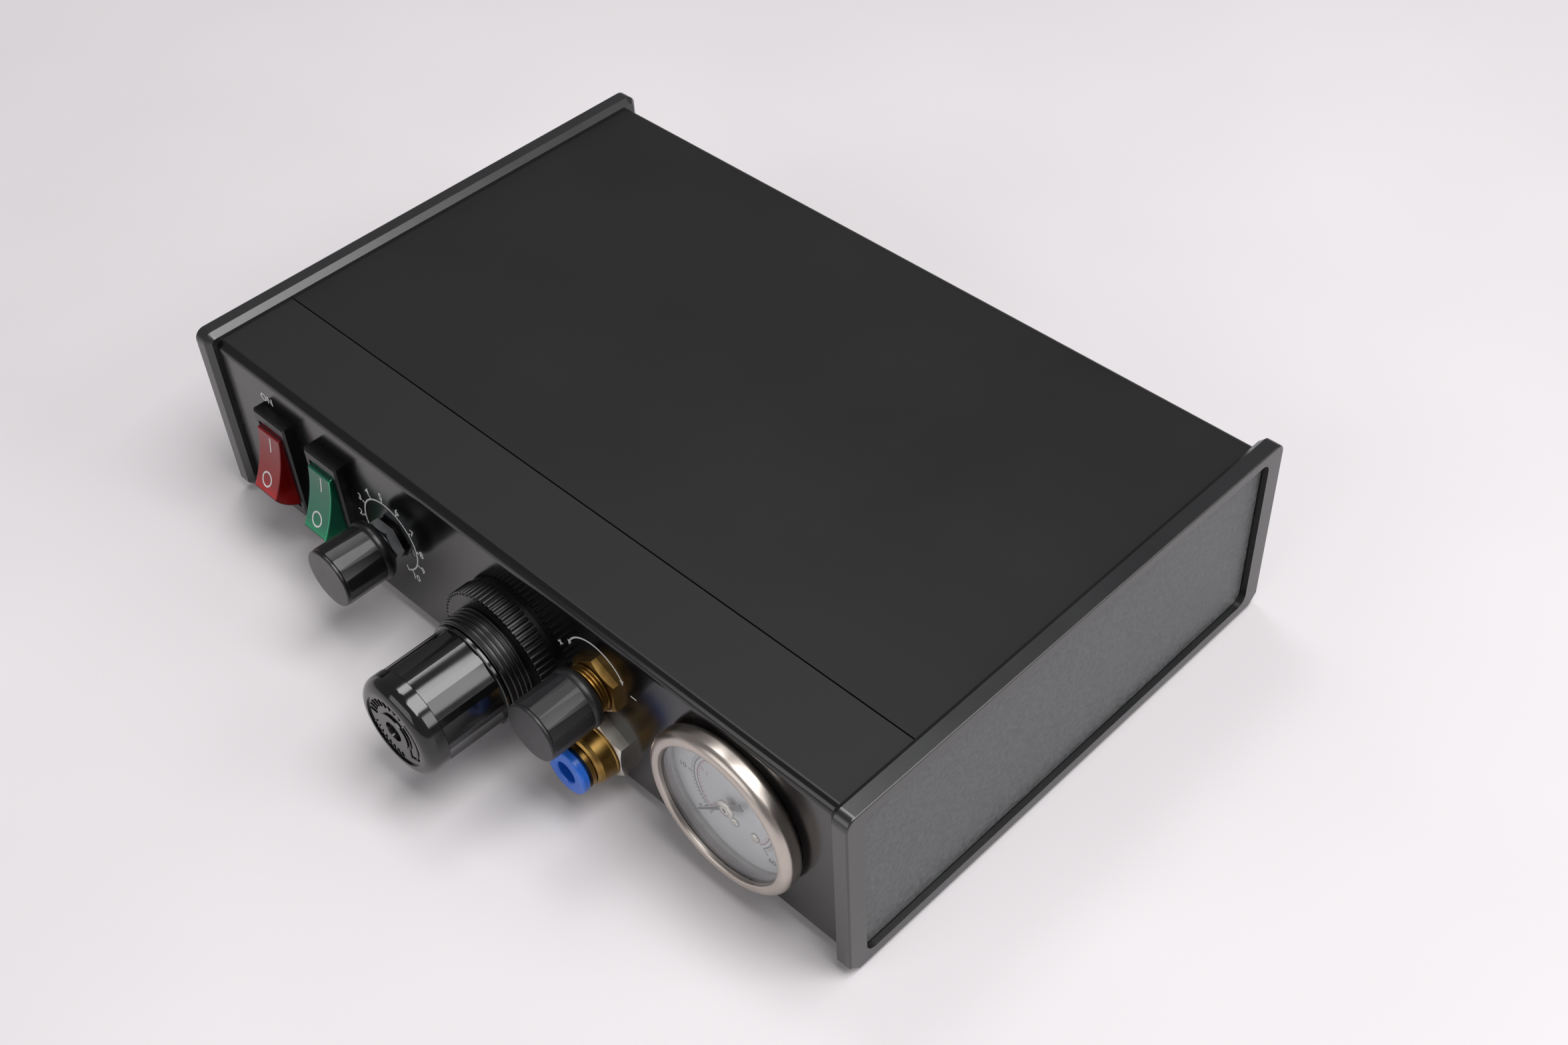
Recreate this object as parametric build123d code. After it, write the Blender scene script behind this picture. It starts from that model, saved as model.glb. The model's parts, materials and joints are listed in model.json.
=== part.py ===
from build123d import *
import os
from math import asin, cos, pi, radians, sin, sqrt

# Bench dispensing controller: a low metal case between two moulded end frames. Its front panel carries two
# rocker switches, a timer knob, an air pressure regulator, a vacuum valve over an air outlet, and a gauge.
# Millimetres. X runs to the right along the front, Y to the back, Z up. The sizes below are written in the
# case's own frame: X = 0 half-way along, Y = 0 at the front of the end frames, Z = 0 on the table.

# ---------------------------------------------------------------- driving dimensions: case
CASE_WIDTH = 235.0  # over the outer faces of the end frames
CASE_DEPTH = 153.0  # end frame, front to back
FRAME_HEIGHT = 55.5  # end frame, bottom to top
FOOT_LIFT = 1.0  # gap from the table to the end frames
PROUD = 2.5  # end frames stand this far past the front, top and back walls
PROUD_BELOW = 2.0  # and this far below the bottom wall
WALL = 2.0  # extruded aluminium wall
SEAM_Y = 27.2  # back edge of the front panel's top and bottom strips
SEAM_GAP = 0.4  # open groove at the seam
LAP = 4.0  # tongue under the cover's edge
FRONT_BEND = 2.5  # outside corner radius, front panel
BACK_BEND = 3.0  # outside corner radius, main cover
CHANNEL_INSET = 4.0  # screw channel axis from the inner faces of the walls
CHANNEL_R = 2.9
CHANNEL_RIB = 1.4
CHANNEL_BORE = 1.3
FIT = 0.1  # clearance between a piece and the piece it seats in
RUN = 0.05  # radial running clearance of shafts and pivots

# end frames and side panels
FLANGE_FACE = 4.1  # flat outer face of the flange, from the outer side to the inner chamfer
FLANGE_CHAMFER = 1.5
FRAME_WEB = 2.4  # closed wall behind the side panel
FRAME_CORNER = 3.0
RIM_FRONT, RIM_BACK, RIM_TOP, RIM_BOTTOM = 5.4, 5.6, 3.0, 3.5
RECESS_CORNER = 3.0
SIDE_PANEL = 1.5  # plate thickness
PLUG_LENGTH = 5.0  # ribs that reach into the case
PLUG_WALL = 1.8
PLUG_GAP = 2.0  # from the ribs' ends to the screw channels

# fasteners and feet
SCREW_R, SCREW_LENGTH = 1.25, 10.0
SCREW_HEAD_R, SCREW_HEAD = 2.7, 1.5
FOOT_R, FOOT_INSET_X, FOOT_INSET_Y = 6.5, 22.0, 16.0

# ---------------------------------------------------------------- driving dimensions: front panel pieces
# rocker switches
SWITCH_Z = 28.1
POWER_X, MODE_X = -87.3, -64.9
ROCKER_W = 9.6
ROCKER_GAP = 0.25  # each side, between the rocker and its well
SWITCH_WALL = 0.75  # body wall beside and at the ends of the well
BEZEL_LAP = 1.0  # bezel past the body, at its sides
BEZEL_LAP_END = 2.2  # and at its ends
BEZEL_T, SWITCH_BODY_DEPTH = 3.5, 18.0
ROCKER_TILT = 18.0  # each way from level
ROCKER_HALF = 9.0  # half the chord between the two lobes
ROCKER_RISE = 8.7  # chord above the pivot
ROCKER_DISH = 1.0  # depth of the dished face
ROCKER_SKIRT = 1.5  # rocker's lower edge below the pivot
PIVOT_DEPTH = 4.5  # pivot behind the bezel's face
PIVOT_R = 1.2
BLADE_W, BLADE_T, BLADE_L, BLADE_PITCH = 4.8, 0.8, 7.0, 8.0

# timer
TIMER_X, TIMER_Z = -43.3, 28.0
TIMER_SHAFT_R, BUSHING_WALL = 3.0, 0.45
POT_R, POT_DEPTH = 8.0, 9.0
TIMER_NUT_RIM, TIMER_NUT_T = 2.05, 2.6  # nut outside the bushing, to its flats
TIMER_WASHER_RIM, TIMER_WASHER_T = 2.15, 1.0
LUG_OFFSET, LUG_W, LUG_H = 8.6, 1.2, 2.6
TIMER_KNOB_L, TIMER_KNOB_R, TIMER_SKIRT_R, TIMER_SKIRT_L = 15.4, 8.2, 8.4, 2.7
TIMER_KNOB_GAP = 4.7  # panel to the knob's back
TIMER_FLUTES, TIMER_FLUTE_TURN = 16, 12.8  # and their turn about the axis, in degrees
FLUTE_R, FLUTE_LAND = 25.0, 0.3  # shallow flutes of both small knobs, and the ridge left between two

# air pressure regulator
REG_X, REG_Z = 5.2, 24.5
NECK_R, NECK_L = 14.2, 13.1  # neck in front of the panel, at the root of its thread
RING_WALL, RING_T, RING_RIBS, RIB_DEPTH = 4.7, 6.5, 70, 0.55
PRESSURE_KNOB_L, PRESSURE_KNOB_R = 24.1, 13.3
PRESSURE_NOSE_R, PRESSURE_NOSE_L, NOSE_ROUND = 13.5, 6.1, 3.2
PRESSURE_RIM_R, PRESSURE_RIM_T = 14.0, 1.1  # rim at the knob's back
PRESSURE_KNOB_GAP = 0.3  # neck to the knob's back
PULL = 3.0  # the knob is pulled out this far to unlock
GRIP_FLUTES, GRIP_FLUTE_W, GRIP_FLUTE_R, GRIP_TURN = 12, 5.0, 18.0, 14.5
SCREW_HEX_AF, REG_SCREW_R = 8.0, 4.5
REG_FLANGE_RIM, REG_FLANGE_T = 2.8, 3.5  # flange behind the panel, past the neck
REG_BLOCK, REG_BLOCK_T = 34.0, 22.0
REG_CAP_R, REG_CAP_T = 9.0, 8.0
REG_PORT, REG_PORT_UP = 11.5, 10.0  # rear ports, beside and above or below the axis

# vacuum valve
VAC_X, VAC_Z = 37.2, 35.6
VAC_NUT_AF, VAC_NUT_T = 14.0, 2.2
VAC_THREAD_R, VAC_BODY_AF, VAC_BODY_L = 4.4, 12.0, 15.0
GLAND_R, GLAND_T, GLAND_PITCH = 6.3, 2.8, 0.9
VAC_STEM_R, VAC_PORT = 1.5, 3.2
VAC_KNOB_L, VAC_KNOB_R, VAC_SKIRT_R, VAC_SKIRT_L = 15.6, 7.9, 8.1, 2.5
VAC_KNOB_GAP = 5.5
VAC_FLUTES, VAC_FLUTE_TURN = 15, 5.0

# push-in fittings: air outlet in front, air inlet at the back
OUTLET_X, OUTLET_Z = 36.9, 14.1
OUTLET_TUBE_R = 3.05
INLET_X, INLET_Z = 22.0, 23.0
INLET_TUBE_R = 4.05
FITTING_WALL = 3.2  # tube to the outside of the fitting's thread
NUT_RIM, NUT_T = 1.75, 3.4  # panel nut outside the thread, to its flats
OUTLET_REACH = 13.6  # panel to the foremost face
FITTING_TAIL = 12.0  # fitting's length behind the wall
COLLET_TRAVEL = 0.8

# gauge
GAUGE_X, GAUGE_Z = 80.8, 29.2
GAUGE_CAN_R, GAUGE_CAN_DEPTH, GAUGE_CAN_WALL = 20.0, 24.0, 0.8
BEZEL_RIM, BEZEL_LIP, GAUGE_BEZEL_T = 1.7, 1.3, 5.7  # bezel past the can's outside, and over the window
LENS_T, LENS_FRONT = 1.5, 4.6
DIAL_T, DIAL_FRONT = 0.6, -0.6
NEEDLE_L, NEEDLE_TAIL, NEEDLE_LIFT, NEEDLE_T = 13.6, 6.5, 1.2, 0.35
NEEDLE_ANGLE = 222.0  # rest direction, anticlockwise from 3 o'clock
STOP_PIN_AT = 8.0
DIAL_SCREWS = [(0.2, -6.6), (6.6, -6.5)]  # beside the hub
STEM_AF, STEM_L = 12.0, 9.0
CLAMP_W = 18.0

# ---------------------------------------------------------------- driving dimensions: back and inside
MAINS_X, MAINS_Z = -76.0, 28.5
MAINS_FLANGE_W, MAINS_FLANGE_H, MAINS_FLANGE_T = 31.0, 34.0, 3.0
MAINS_BODY_W, MAINS_BODY_H, MAINS_DEPTH = 27.0, 30.0, 22.0
SOCKET_W, SOCKET_H, SOCKET_DEPTH, SOCKET_UP = 24.4, 16.6, 15.0, 5.2
DRAWER_W, DRAWER_H, DRAWER_L, DRAWER_DOWN = 22.0, 7.6, 19.0, 9.6
DRAWER_TRAVEL = 15.0
FUSE_R, FUSE_L = 2.5, 20.0
JACK_X, JACK_Z = -38.0, 28.5
JACK_BORE_R, JACK_THREAD_R, JACK_NUT_AF, JACK_DEPTH = 3.2, 5.4, 14.0, 18.0
SILENCER_X, SILENCER_Z = 60.0, 22.0
SILENCER_R, SILENCER_L, SILENCER_AF = 5.0, 11.0, 13.0
PLATE_T = 1.5
BARB_R, BARB_L, HOSE_WALL = 1.4, 4.0, 0.5
BOARD_W, BOARD_D, BOARD_T, BOARD_LIFT = 70.0, 62.0, 1.6, 6.0

# ---------------------------------------------------------------- derived sizes and places
BUSHING_R = TIMER_SHAFT_R + BUSHING_WALL
REG_FLANGE_R = NECK_R + REG_FLANGE_RIM
RING_R = NECK_R + RING_WALL
GAUGE_BEZEL_R = GAUGE_CAN_R + BEZEL_RIM
GAUGE_WINDOW_R = GAUGE_CAN_R - BEZEL_LIP
OUTLET_THREAD_R = OUTLET_TUBE_R + FITTING_WALL
INLET_THREAD_R = INLET_TUBE_R + FITTING_WALL
HOSE_BORE_R = BARB_R + FIT
HOSE_R = HOSE_BORE_R + HOSE_WALL
ROCKER_REACH = sqrt(ROCKER_HALF ** 2 + ROCKER_RISE ** 2)  # pivot to the lobes and the end faces
WELL_W = ROCKER_W + 2 * ROCKER_GAP
WELL_H = 2 * (ROCKER_REACH + 0.2)
WELL_DEPTH = PIVOT_DEPTH + ROCKER_SKIRT + ROCKER_REACH * sin(radians(ROCKER_TILT)) + 0.4
SWITCH_BODY_W = WELL_W + 2 * SWITCH_WALL
SWITCH_BODY_H = WELL_H + 2 * SWITCH_WALL
PLUG_CORNER = CHANNEL_INSET + CHANNEL_R + PLUG_GAP  # ribs stop this far from the case's inner corners
FLANGE_X = CASE_WIDTH / 2 - FLANGE_FACE - FLANGE_CHAMFER  # inner side of the end frames
FRAME_BOTTOM = FOOT_LIFT
FRAME_TOP = FOOT_LIFT + FRAME_HEIGHT
FRONT_Y = PROUD  # outer face of the front panel
BACK_Y = CASE_DEPTH - PROUD  # outer face of the back wall
TOP_Z = FRAME_TOP - PROUD
BOTTOM_Z = FRAME_BOTTOM + PROUD_BELOW
IN_FRONT, IN_BACK = FRONT_Y + WALL, BACK_Y - WALL
IN_BOTTOM, IN_TOP = BOTTOM_Z + WALL, TOP_Z - WALL
PLATE_TOP = IN_BOTTOM + PLATE_T
KNOB_FACE = RING_T + (NECK_L - RING_T) + PRESSURE_KNOB_GAP + PRESSURE_KNOB_L  # panel to the foremost face
INLET_REACH = 14.5  # back wall to the hindmost face
SHIFT_Y = -((FRONT_Y - KNOB_FACE) + (BACK_Y + INLET_REACH)) / 2  # puts the origin under the middle of the whole

CHANNELS_FRONT = [(IN_FRONT + CHANNEL_INSET, z) for z in (IN_TOP - CHANNEL_INSET, IN_BOTTOM + CHANNEL_INSET)]
CHANNELS_BACK = [(IN_BACK - CHANNEL_INSET, z) for z in (IN_TOP - CHANNEL_INSET, IN_BOTTOM + CHANNEL_INSET)]

parts = {}


# ---------------------------------------------------------------- helpers
def front(x, z):
    """Frame on the panel's outer face: local Z points out of the panel, local Y up."""
    return Plane(origin=(x, FRONT_Y, z), x_dir=(1, 0, 0), z_dir=(0, -1, 0)).location


def back(x, z):
    """Frame on the back wall's outer face: local Z points out of the wall, local Y up."""
    return Plane(origin=(x, BACK_Y, z), x_dir=(-1, 0, 0), z_dir=(0, 1, 0)).location


def block(x0, x1, y0, y1, z0, z1):
    """Box between two corners."""
    return Pos((x0 + x1) / 2, (y0 + y1) / 2, (z0 + z1) / 2) * Box(x1 - x0, y1 - y0, z1 - z0)


def rod(radius, z0, z1):
    """Round bar on local Z."""
    return Pos(0, 0, z0) * Cylinder(radius, z1 - z0, align=(Align.CENTER, Align.CENTER, Align.MIN))


def turned(*points):
    """Solid turned about local Z from its (radius, height) corners."""
    return revolve(Plane.XZ * make_face(Polyline(*points, close=True)), Axis.Z)


def hex_bar(across_flats, z0, z1, point_up=False):
    """Hexagonal bar on local Z, with flats left and right when a point is up."""
    outline = RegularPolygon(across_flats / 2, 6, major_radius=False, rotation=30 if point_up else 0)
    return Pos(0, 0, z0) * extrude(outline, z1 - z0)


def hex_nut(across_flats, z0, z1, bore, point_up=False):
    """Nut with its front corners turned off at 30 degrees."""
    corner = across_flats / sqrt(3)
    flat = across_flats / 2
    slope = (corner - flat) * 0.577
    blank = turned((0, z0), (corner, z0), (corner, z1 - slope), (flat * 0.97, z1), (0, z1))
    return (hex_bar(across_flats, z0, z1, point_up) & blank) - rod(bore, z0, z1)


def yz_rect(y0, y1, z0, z1):
    """Rectangle in the case's cross-section."""
    return Pos((y0 + y1) / 2, (z0 + z1) / 2) * Rectangle(y1 - y0, z1 - z0)


def rounded_ends(sketch, toward_back, radius):
    """Rounds the two corners of a cross-section at its front or its back end."""
    corners = sketch.vertices().group_by(Axis.X)[-1 if toward_back else 0]
    return fillet(corners, radius)


def along_case(section, half_length):
    """Extrudes a (y, z) cross-section along X, equally to both sides."""
    return extrude(Plane.YZ * section, half_length, both=True)


def hose(points, bends):
    """Flexible air tube along straight runs joined by tangent arcs."""
    path = FilletPolyline(*points, radius=bends)
    ring = Circle(HOSE_R) - Circle(HOSE_BORE_R)
    return sweep(Plane(origin=path @ 0, z_dir=path % 0) * ring, path)


# ---------------------------------------------------------------- case
def screw_channel(y, z, wall_y, wall_z):
    """Round screw channel of an extrusion, tied to the two walls beside it."""
    half = CHANNEL_RIB / 2
    ties = [yz_rect(min(y, wall_y), max(y, wall_y), z - half, z + half),
            yz_rect(y - half, y + half, min(z, wall_z), max(z, wall_z))]
    return Pos(y, z) * Circle(CHANNEL_R) + ties


def shell_section(y0, y1, bend, toward_back, channels):
    """C-shaped cross-section of one of the two extrusions, with a screw channel in each corner."""
    wall_y = IN_BACK if toward_back else IN_FRONT
    inner = yz_rect(y0 - 1, wall_y, IN_BOTTOM, IN_TOP) if toward_back else yz_rect(wall_y, y1 + 1, IN_BOTTOM, IN_TOP)
    outer = rounded_ends(yz_rect(y0, y1, BOTTOM_Z, TOP_Z), toward_back, bend)
    section = outer - rounded_ends(inner, toward_back, max(bend - WALL, 0.5))
    for (y, z), wall_z in zip(channels, (IN_TOP, IN_BOTTOM)):
        section += screw_channel(y, z, wall_y, wall_z)
        section -= Pos(y, z) * Circle(CHANNEL_BORE)
    return section


def front_panel():
    section = shell_section(FRONT_Y, SEAM_Y, FRONT_BEND, False, CHANNELS_FRONT)
    tongue = WALL / 2 - FIT
    section += yz_rect(SEAM_Y - 1, SEAM_Y + LAP, IN_TOP, IN_TOP + tongue)
    section += yz_rect(SEAM_Y - 1, SEAM_Y + LAP, IN_BOTTOM - tongue, IN_BOTTOM)
    panel = along_case(section, FLANGE_X)
    for x in (POWER_X, MODE_X):
        panel -= front(x, SWITCH_Z) * Box(SWITCH_BODY_W + 2 * FIT, SWITCH_BODY_H + 2 * FIT, 4 * WALL)
    for x, z, radius in ((TIMER_X, TIMER_Z, BUSHING_R), (REG_X, REG_Z, NECK_R), (VAC_X, VAC_Z, VAC_THREAD_R),
                         (OUTLET_X, OUTLET_Z, OUTLET_THREAD_R), (GAUGE_X, GAUGE_Z, GAUGE_CAN_R)):
        panel -= front(x, z) * rod(radius + FIT, -2 * WALL, 2 * WALL)
    panel -= front(TIMER_X + LUG_OFFSET, TIMER_Z) * Box(LUG_W + 2 * FIT, LUG_H + 2 * FIT, 4 * WALL)
    room = CHANNEL_INSET + CHANNEL_R + 1.0
    reg_half = max(REG_BLOCK / 2, REG_FLANGE_R)
    for x, half in ((REG_X, reg_half), (OUTLET_X, OUTLET_THREAD_R + NUT_RIM + 1), (GAUGE_X, GAUGE_CAN_R)):
        panel -= block(x - half - 0.5, x + half + 0.5, IN_FRONT, IN_FRONT + room, IN_BOTTOM, IN_BOTTOM + room)
    half = GAUGE_CAN_R
    panel -= block(GAUGE_X - half - 0.5, GAUGE_X + half + 0.5, IN_FRONT, IN_FRONT + room, IN_TOP - room, IN_TOP)
    return panel


def main_cover():
    start = SEAM_Y + SEAM_GAP
    section = shell_section(start, BACK_Y, BACK_BEND, True, CHANNELS_BACK)
    section -= yz_rect(start - 1, start + LAP, IN_TOP - 1, IN_TOP + WALL / 2)
    section -= yz_rect(start - 1, start + LAP, IN_BOTTOM - WALL / 2, IN_BOTTOM + 1)
    cover = along_case(section, FLANGE_X)
    cover -= back(MAINS_X, MAINS_Z) * Box(MAINS_BODY_W + 2 * FIT, MAINS_BODY_H + 2 * FIT, 4 * WALL)
    for x, z, radius in ((JACK_X, JACK_Z, JACK_THREAD_R), (INLET_X, INLET_Z, INLET_THREAD_R),
                         (SILENCER_X, SILENCER_Z, SILENCER_R - 1)):
        cover -= back(x, z) * rod(radius + FIT, -2 * WALL, 2 * WALL)
    return cover


def frame_outline():
    """Side view of an end frame: rounded above, cut off at 45 degrees below."""
    outline = yz_rect(0, CASE_DEPTH, FRAME_BOTTOM, FRAME_TOP)
    outline = fillet(outline.vertices().group_by(Axis.Y)[-1], FRAME_CORNER)
    return chamfer(outline.vertices().group_by(Axis.Y)[0], FRAME_CORNER)


def recess_outline(gap):
    """Outline of the recess in the end frame's outer side, drawn in by a gap."""
    hollow = yz_rect(RIM_FRONT + gap, CASE_DEPTH - RIM_BACK - gap,
                     FRAME_BOTTOM + RIM_BOTTOM + gap, FRAME_TOP - RIM_TOP - gap)
    return fillet(hollow.vertices(), RECESS_CORNER - gap)


def plug_ribs():
    """Four ribs that reach into the open end of the case and hold its walls in line."""
    y0, y1 = IN_FRONT + FIT, IN_BACK - FIT
    z0, z1 = IN_BOTTOM + FIT, IN_TOP - FIT
    x0, x1 = FLANGE_X - PLUG_LENGTH, FLANGE_X + 0.5
    run_y0, run_y1 = y0 + PLUG_CORNER, y1 - PLUG_CORNER
    run_z0, run_z1 = z0 + PLUG_CORNER, z1 - PLUG_CORNER
    return [block(x0, x1, run_y0, run_y1, z1 - PLUG_WALL, z1), block(x0, x1, run_y0, run_y1, z0, z0 + PLUG_WALL),
            block(x0, x1, y0, y0 + PLUG_WALL, run_z0, run_z1), block(x0, x1, y1 - PLUG_WALL, y1, run_z0, run_z1)]


def end_frame():
    """Right-hand end frame."""
    frame = Pos(FLANGE_X, 0, 0) * extrude(Plane.YZ * frame_outline(), CASE_WIDTH / 2 - FLANGE_X)
    inner_edges = frame.faces().sort_by(Axis.X)[0].edges()
    frame = chamfer(inner_edges, FLANGE_CHAMFER)
    outer_edges = frame.faces().sort_by(Axis.X)[-1].edges()
    frame = fillet(outer_edges, 0.5)
    frame -= Pos(FLANGE_X + FRAME_WEB, 0, 0) * extrude(Plane.YZ * recess_outline(0), CASE_WIDTH)
    frame += plug_ribs()
    for y, z in CHANNELS_FRONT + CHANNELS_BACK:
        hole = turned((0, -1), (SCREW_R + FIT, -1), (SCREW_R + FIT, FRAME_WEB - SCREW_HEAD - FIT),
                      (SCREW_HEAD_R + FIT, FRAME_WEB), (SCREW_HEAD_R + FIT, FRAME_WEB + 1), (0, FRAME_WEB + 1))
        frame -= Pos(FLANGE_X, y, z) * Rot(0, 90, 0) * hole
    return frame


def side_panel():
    """Textured plate let into the right-hand end frame."""
    plate = Pos(FLANGE_X + FRAME_WEB, 0, 0) * extrude(Plane.YZ * recess_outline(FIT), SIDE_PANEL)
    return chamfer(plate.faces().sort_by(Axis.X)[-1].edges(), 0.3)


def frame_screws():
    """Countersunk screws through the end frames into the screw channels."""
    screw = turned((0, FRAME_WEB - SCREW_LENGTH), (SCREW_R, FRAME_WEB - SCREW_LENGTH),
                   (SCREW_R, FRAME_WEB - SCREW_HEAD - FIT), (SCREW_HEAD_R, FRAME_WEB - FIT), (0, FRAME_WEB - FIT))
    screw -= Pos(0, 0, FRAME_WEB - FIT) * (Box(3.0, 0.7, 1.4) + Box(0.7, 3.0, 1.4))
    places = CHANNELS_FRONT + CHANNELS_BACK
    right = [Pos(FLANGE_X, y, z) * Rot(0, 90, 0) * screw for y, z in places]
    return Compound(right + [s.mirror(Plane.YZ) for s in right])


def rubber_feet():
    foot = turned((0, 0.8), (2.5, 0.8), (2.5, 0), (FOOT_R - 0.6, 0), (FOOT_R, 0.6), (FOOT_R - 0.3, BOTTOM_Z),
                  (0, BOTTOM_Z))
    spots = [(x, y) for x in (-1, 1) for y in (FOOT_INSET_Y, CASE_DEPTH - FOOT_INSET_Y)]
    return Compound([Pos(side * (CASE_WIDTH / 2 - FOOT_INSET_X), y, 0) * foot for side, y in spots])


def chassis_plate():
    """Inner mounting plate on the floor of the main cover."""
    edge = FLANGE_X - PLUG_LENGTH - 1.0
    return block(-edge, edge, SEAM_Y + SEAM_GAP + LAP + 12.0, IN_BACK - 9.0, IN_BOTTOM, PLATE_TOP)


def build_case():
    parts["front_panel"] = front_panel()
    parts["main_cover"] = main_cover()
    parts["right_end_frame"] = end_frame()
    parts["left_end_frame"] = parts["right_end_frame"].mirror(Plane.YZ)
    parts["right_side_panel"] = side_panel()
    parts["left_side_panel"] = parts["right_side_panel"].mirror(Plane.YZ)
    parts["end_frame_screws"] = frame_screws()
    parts["rubber_feet"] = rubber_feet()
    parts["chassis_plate"] = chassis_plate()


# ---------------------------------------------------------------- rocker switches
def switch_body():
    """Black housing: bezel in front of the panel, box with snap tabs behind it."""
    width, height = SWITCH_BODY_W + 2 * BEZEL_LAP, SWITCH_BODY_H + 2 * BEZEL_LAP_END
    bezel = Box(width, height, BEZEL_T, align=(Align.CENTER, Align.CENTER, Align.MIN))
    bezel = chamfer(bezel.faces().sort_by(Axis.Z)[-1].edges(), 0.5)
    body = bezel + Pos(0, 0, -SWITCH_BODY_DEPTH / 2) * Box(SWITCH_BODY_W, SWITCH_BODY_H, SWITCH_BODY_DEPTH)
    well = Box(WELL_W, WELL_H, WELL_DEPTH, align=(Align.CENTER, Align.CENTER, Align.MAX))
    body -= Pos(0, 0, BEZEL_T) * well
    body -= Pos(0, 0, BEZEL_T - PIVOT_DEPTH) * Rot(0, 90, 0) * Cylinder(PIVOT_R + RUN, SWITCH_BODY_W - 0.2)
    for side in (-1, 1):
        tab = Polyline((0, -WALL - FIT), (0.9, -WALL - FIT), (0, -WALL - 5.0), close=True)
        wedge = extrude(Plane.YZ * make_face(tab), 3.0, both=True)
        wedge = wedge if side > 0 else wedge.mirror(Plane.XZ)
        body += Pos(0, side * SWITCH_BODY_H / 2, 0) * wedge
    return body


def rocker():
    """Lens of the switch, about its pivot at the origin: dished face between two lobes."""
    reach, low = ROCKER_REACH, ROCKER_SKIRT
    foot = sqrt(reach ** 2 - low ** 2)
    face = ThreePointArc((-ROCKER_HALF, ROCKER_RISE), (0, ROCKER_RISE - ROCKER_DISH), (ROCKER_HALF, ROCKER_RISE))
    end_mid = reach * cos(radians(15))
    right = ThreePointArc((ROCKER_HALF, ROCKER_RISE), (end_mid, sqrt(reach ** 2 - end_mid ** 2)), (foot, -low))
    left = ThreePointArc((-foot, -low), (-end_mid, sqrt(reach ** 2 - end_mid ** 2)), (-ROCKER_HALF, ROCKER_RISE))
    outline = make_face(face + right + Line((foot, -low), (-foot, -low)) + left)
    outline = fillet(outline.vertices().group_by(Axis.Y)[-1], 0.4)
    lens = extrude(Plane.YZ * outline, ROCKER_W / 2, both=True)
    for side in (0, -1):
        rim = lens.faces().sort_by(Axis.X)[side].edges()
        lens = fillet([e for e in rim if e.center().Z > 0], 0.3)
    return lens + Rot(0, 90, 0) * Cylinder(PIVOT_R, SWITCH_BODY_W - 0.6)


def build_switch(name, x):
    place = front(x, SWITCH_Z)
    pivot = place * Pos(0, 0, BEZEL_T - PIVOT_DEPTH)
    parts[name + "_switch_body"] = place * switch_body()
    parts[name + "_rocker"] = pivot * Rot(-ROCKER_TILT, 0, 0) * rocker()


def build_switch_terminals():
    blade = Pos(0, 0, -SWITCH_BODY_DEPTH - BLADE_L / 2) * Box(BLADE_W, BLADE_T, BLADE_L)
    blades = [front(x, SWITCH_Z + i * BLADE_PITCH) * blade for x in (POWER_X, MODE_X) for i in (-1, 0, 1)]
    parts["switch_terminals"] = Compound(blades)


# ---------------------------------------------------------------- knobs
def flute_cutters(grip, half, radius, z0, z1, flutes, turn):
    """Bars along a grip that cut hollow flutes, each reaching to the half angle on both sides."""
    centre = grip * cos(half) + sqrt(radius ** 2 - (grip * sin(half)) ** 2)
    return [Rot(0, 0, turn) * loc * rod(radius, z0, z1) for loc in PolarLocations(centre, flutes)]


def fluted_knob(length, grip, skirt, skirt_length, flutes, turn, shaft, shaft_depth):
    """Turned knob, back at z = 0, with shallow flutes between its round skirt and its flat front."""
    bulge = ThreePointArc((skirt - 0.7, 0), (skirt, skirt_length * 0.42), (grip - 0.1, skirt_length + 0.3))
    sides = Polyline((grip - 0.1, skirt_length + 0.3), (grip, length - 1.2), (grip - 0.25, length - 1.0),
                     (grip - 0.1, length - 0.8), (grip - 0.1, length), (0, length), (0, 0), (skirt - 0.7, 0))
    knob = revolve(Plane.XZ * make_face(bulge + sides), Axis.Z)
    front_edge = [e for e in knob.edges().filter_by(GeomType.CIRCLE) if e.center().Z > length - 0.01]
    knob = fillet(front_edge, 0.4)
    half = pi / flutes - FLUTE_LAND / grip / 2
    knob -= flute_cutters(grip, half, FLUTE_R, skirt_length + 0.5, length - 1.1, flutes, turn)
    knob -= turned((0, -1), (skirt - 2.0, -1), (skirt - 2.0, 0.6), (shaft + 1.6, 1.2), (0, 1.2))
    return knob - rod(shaft + RUN / 2, 0, shaft_depth)


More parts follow.
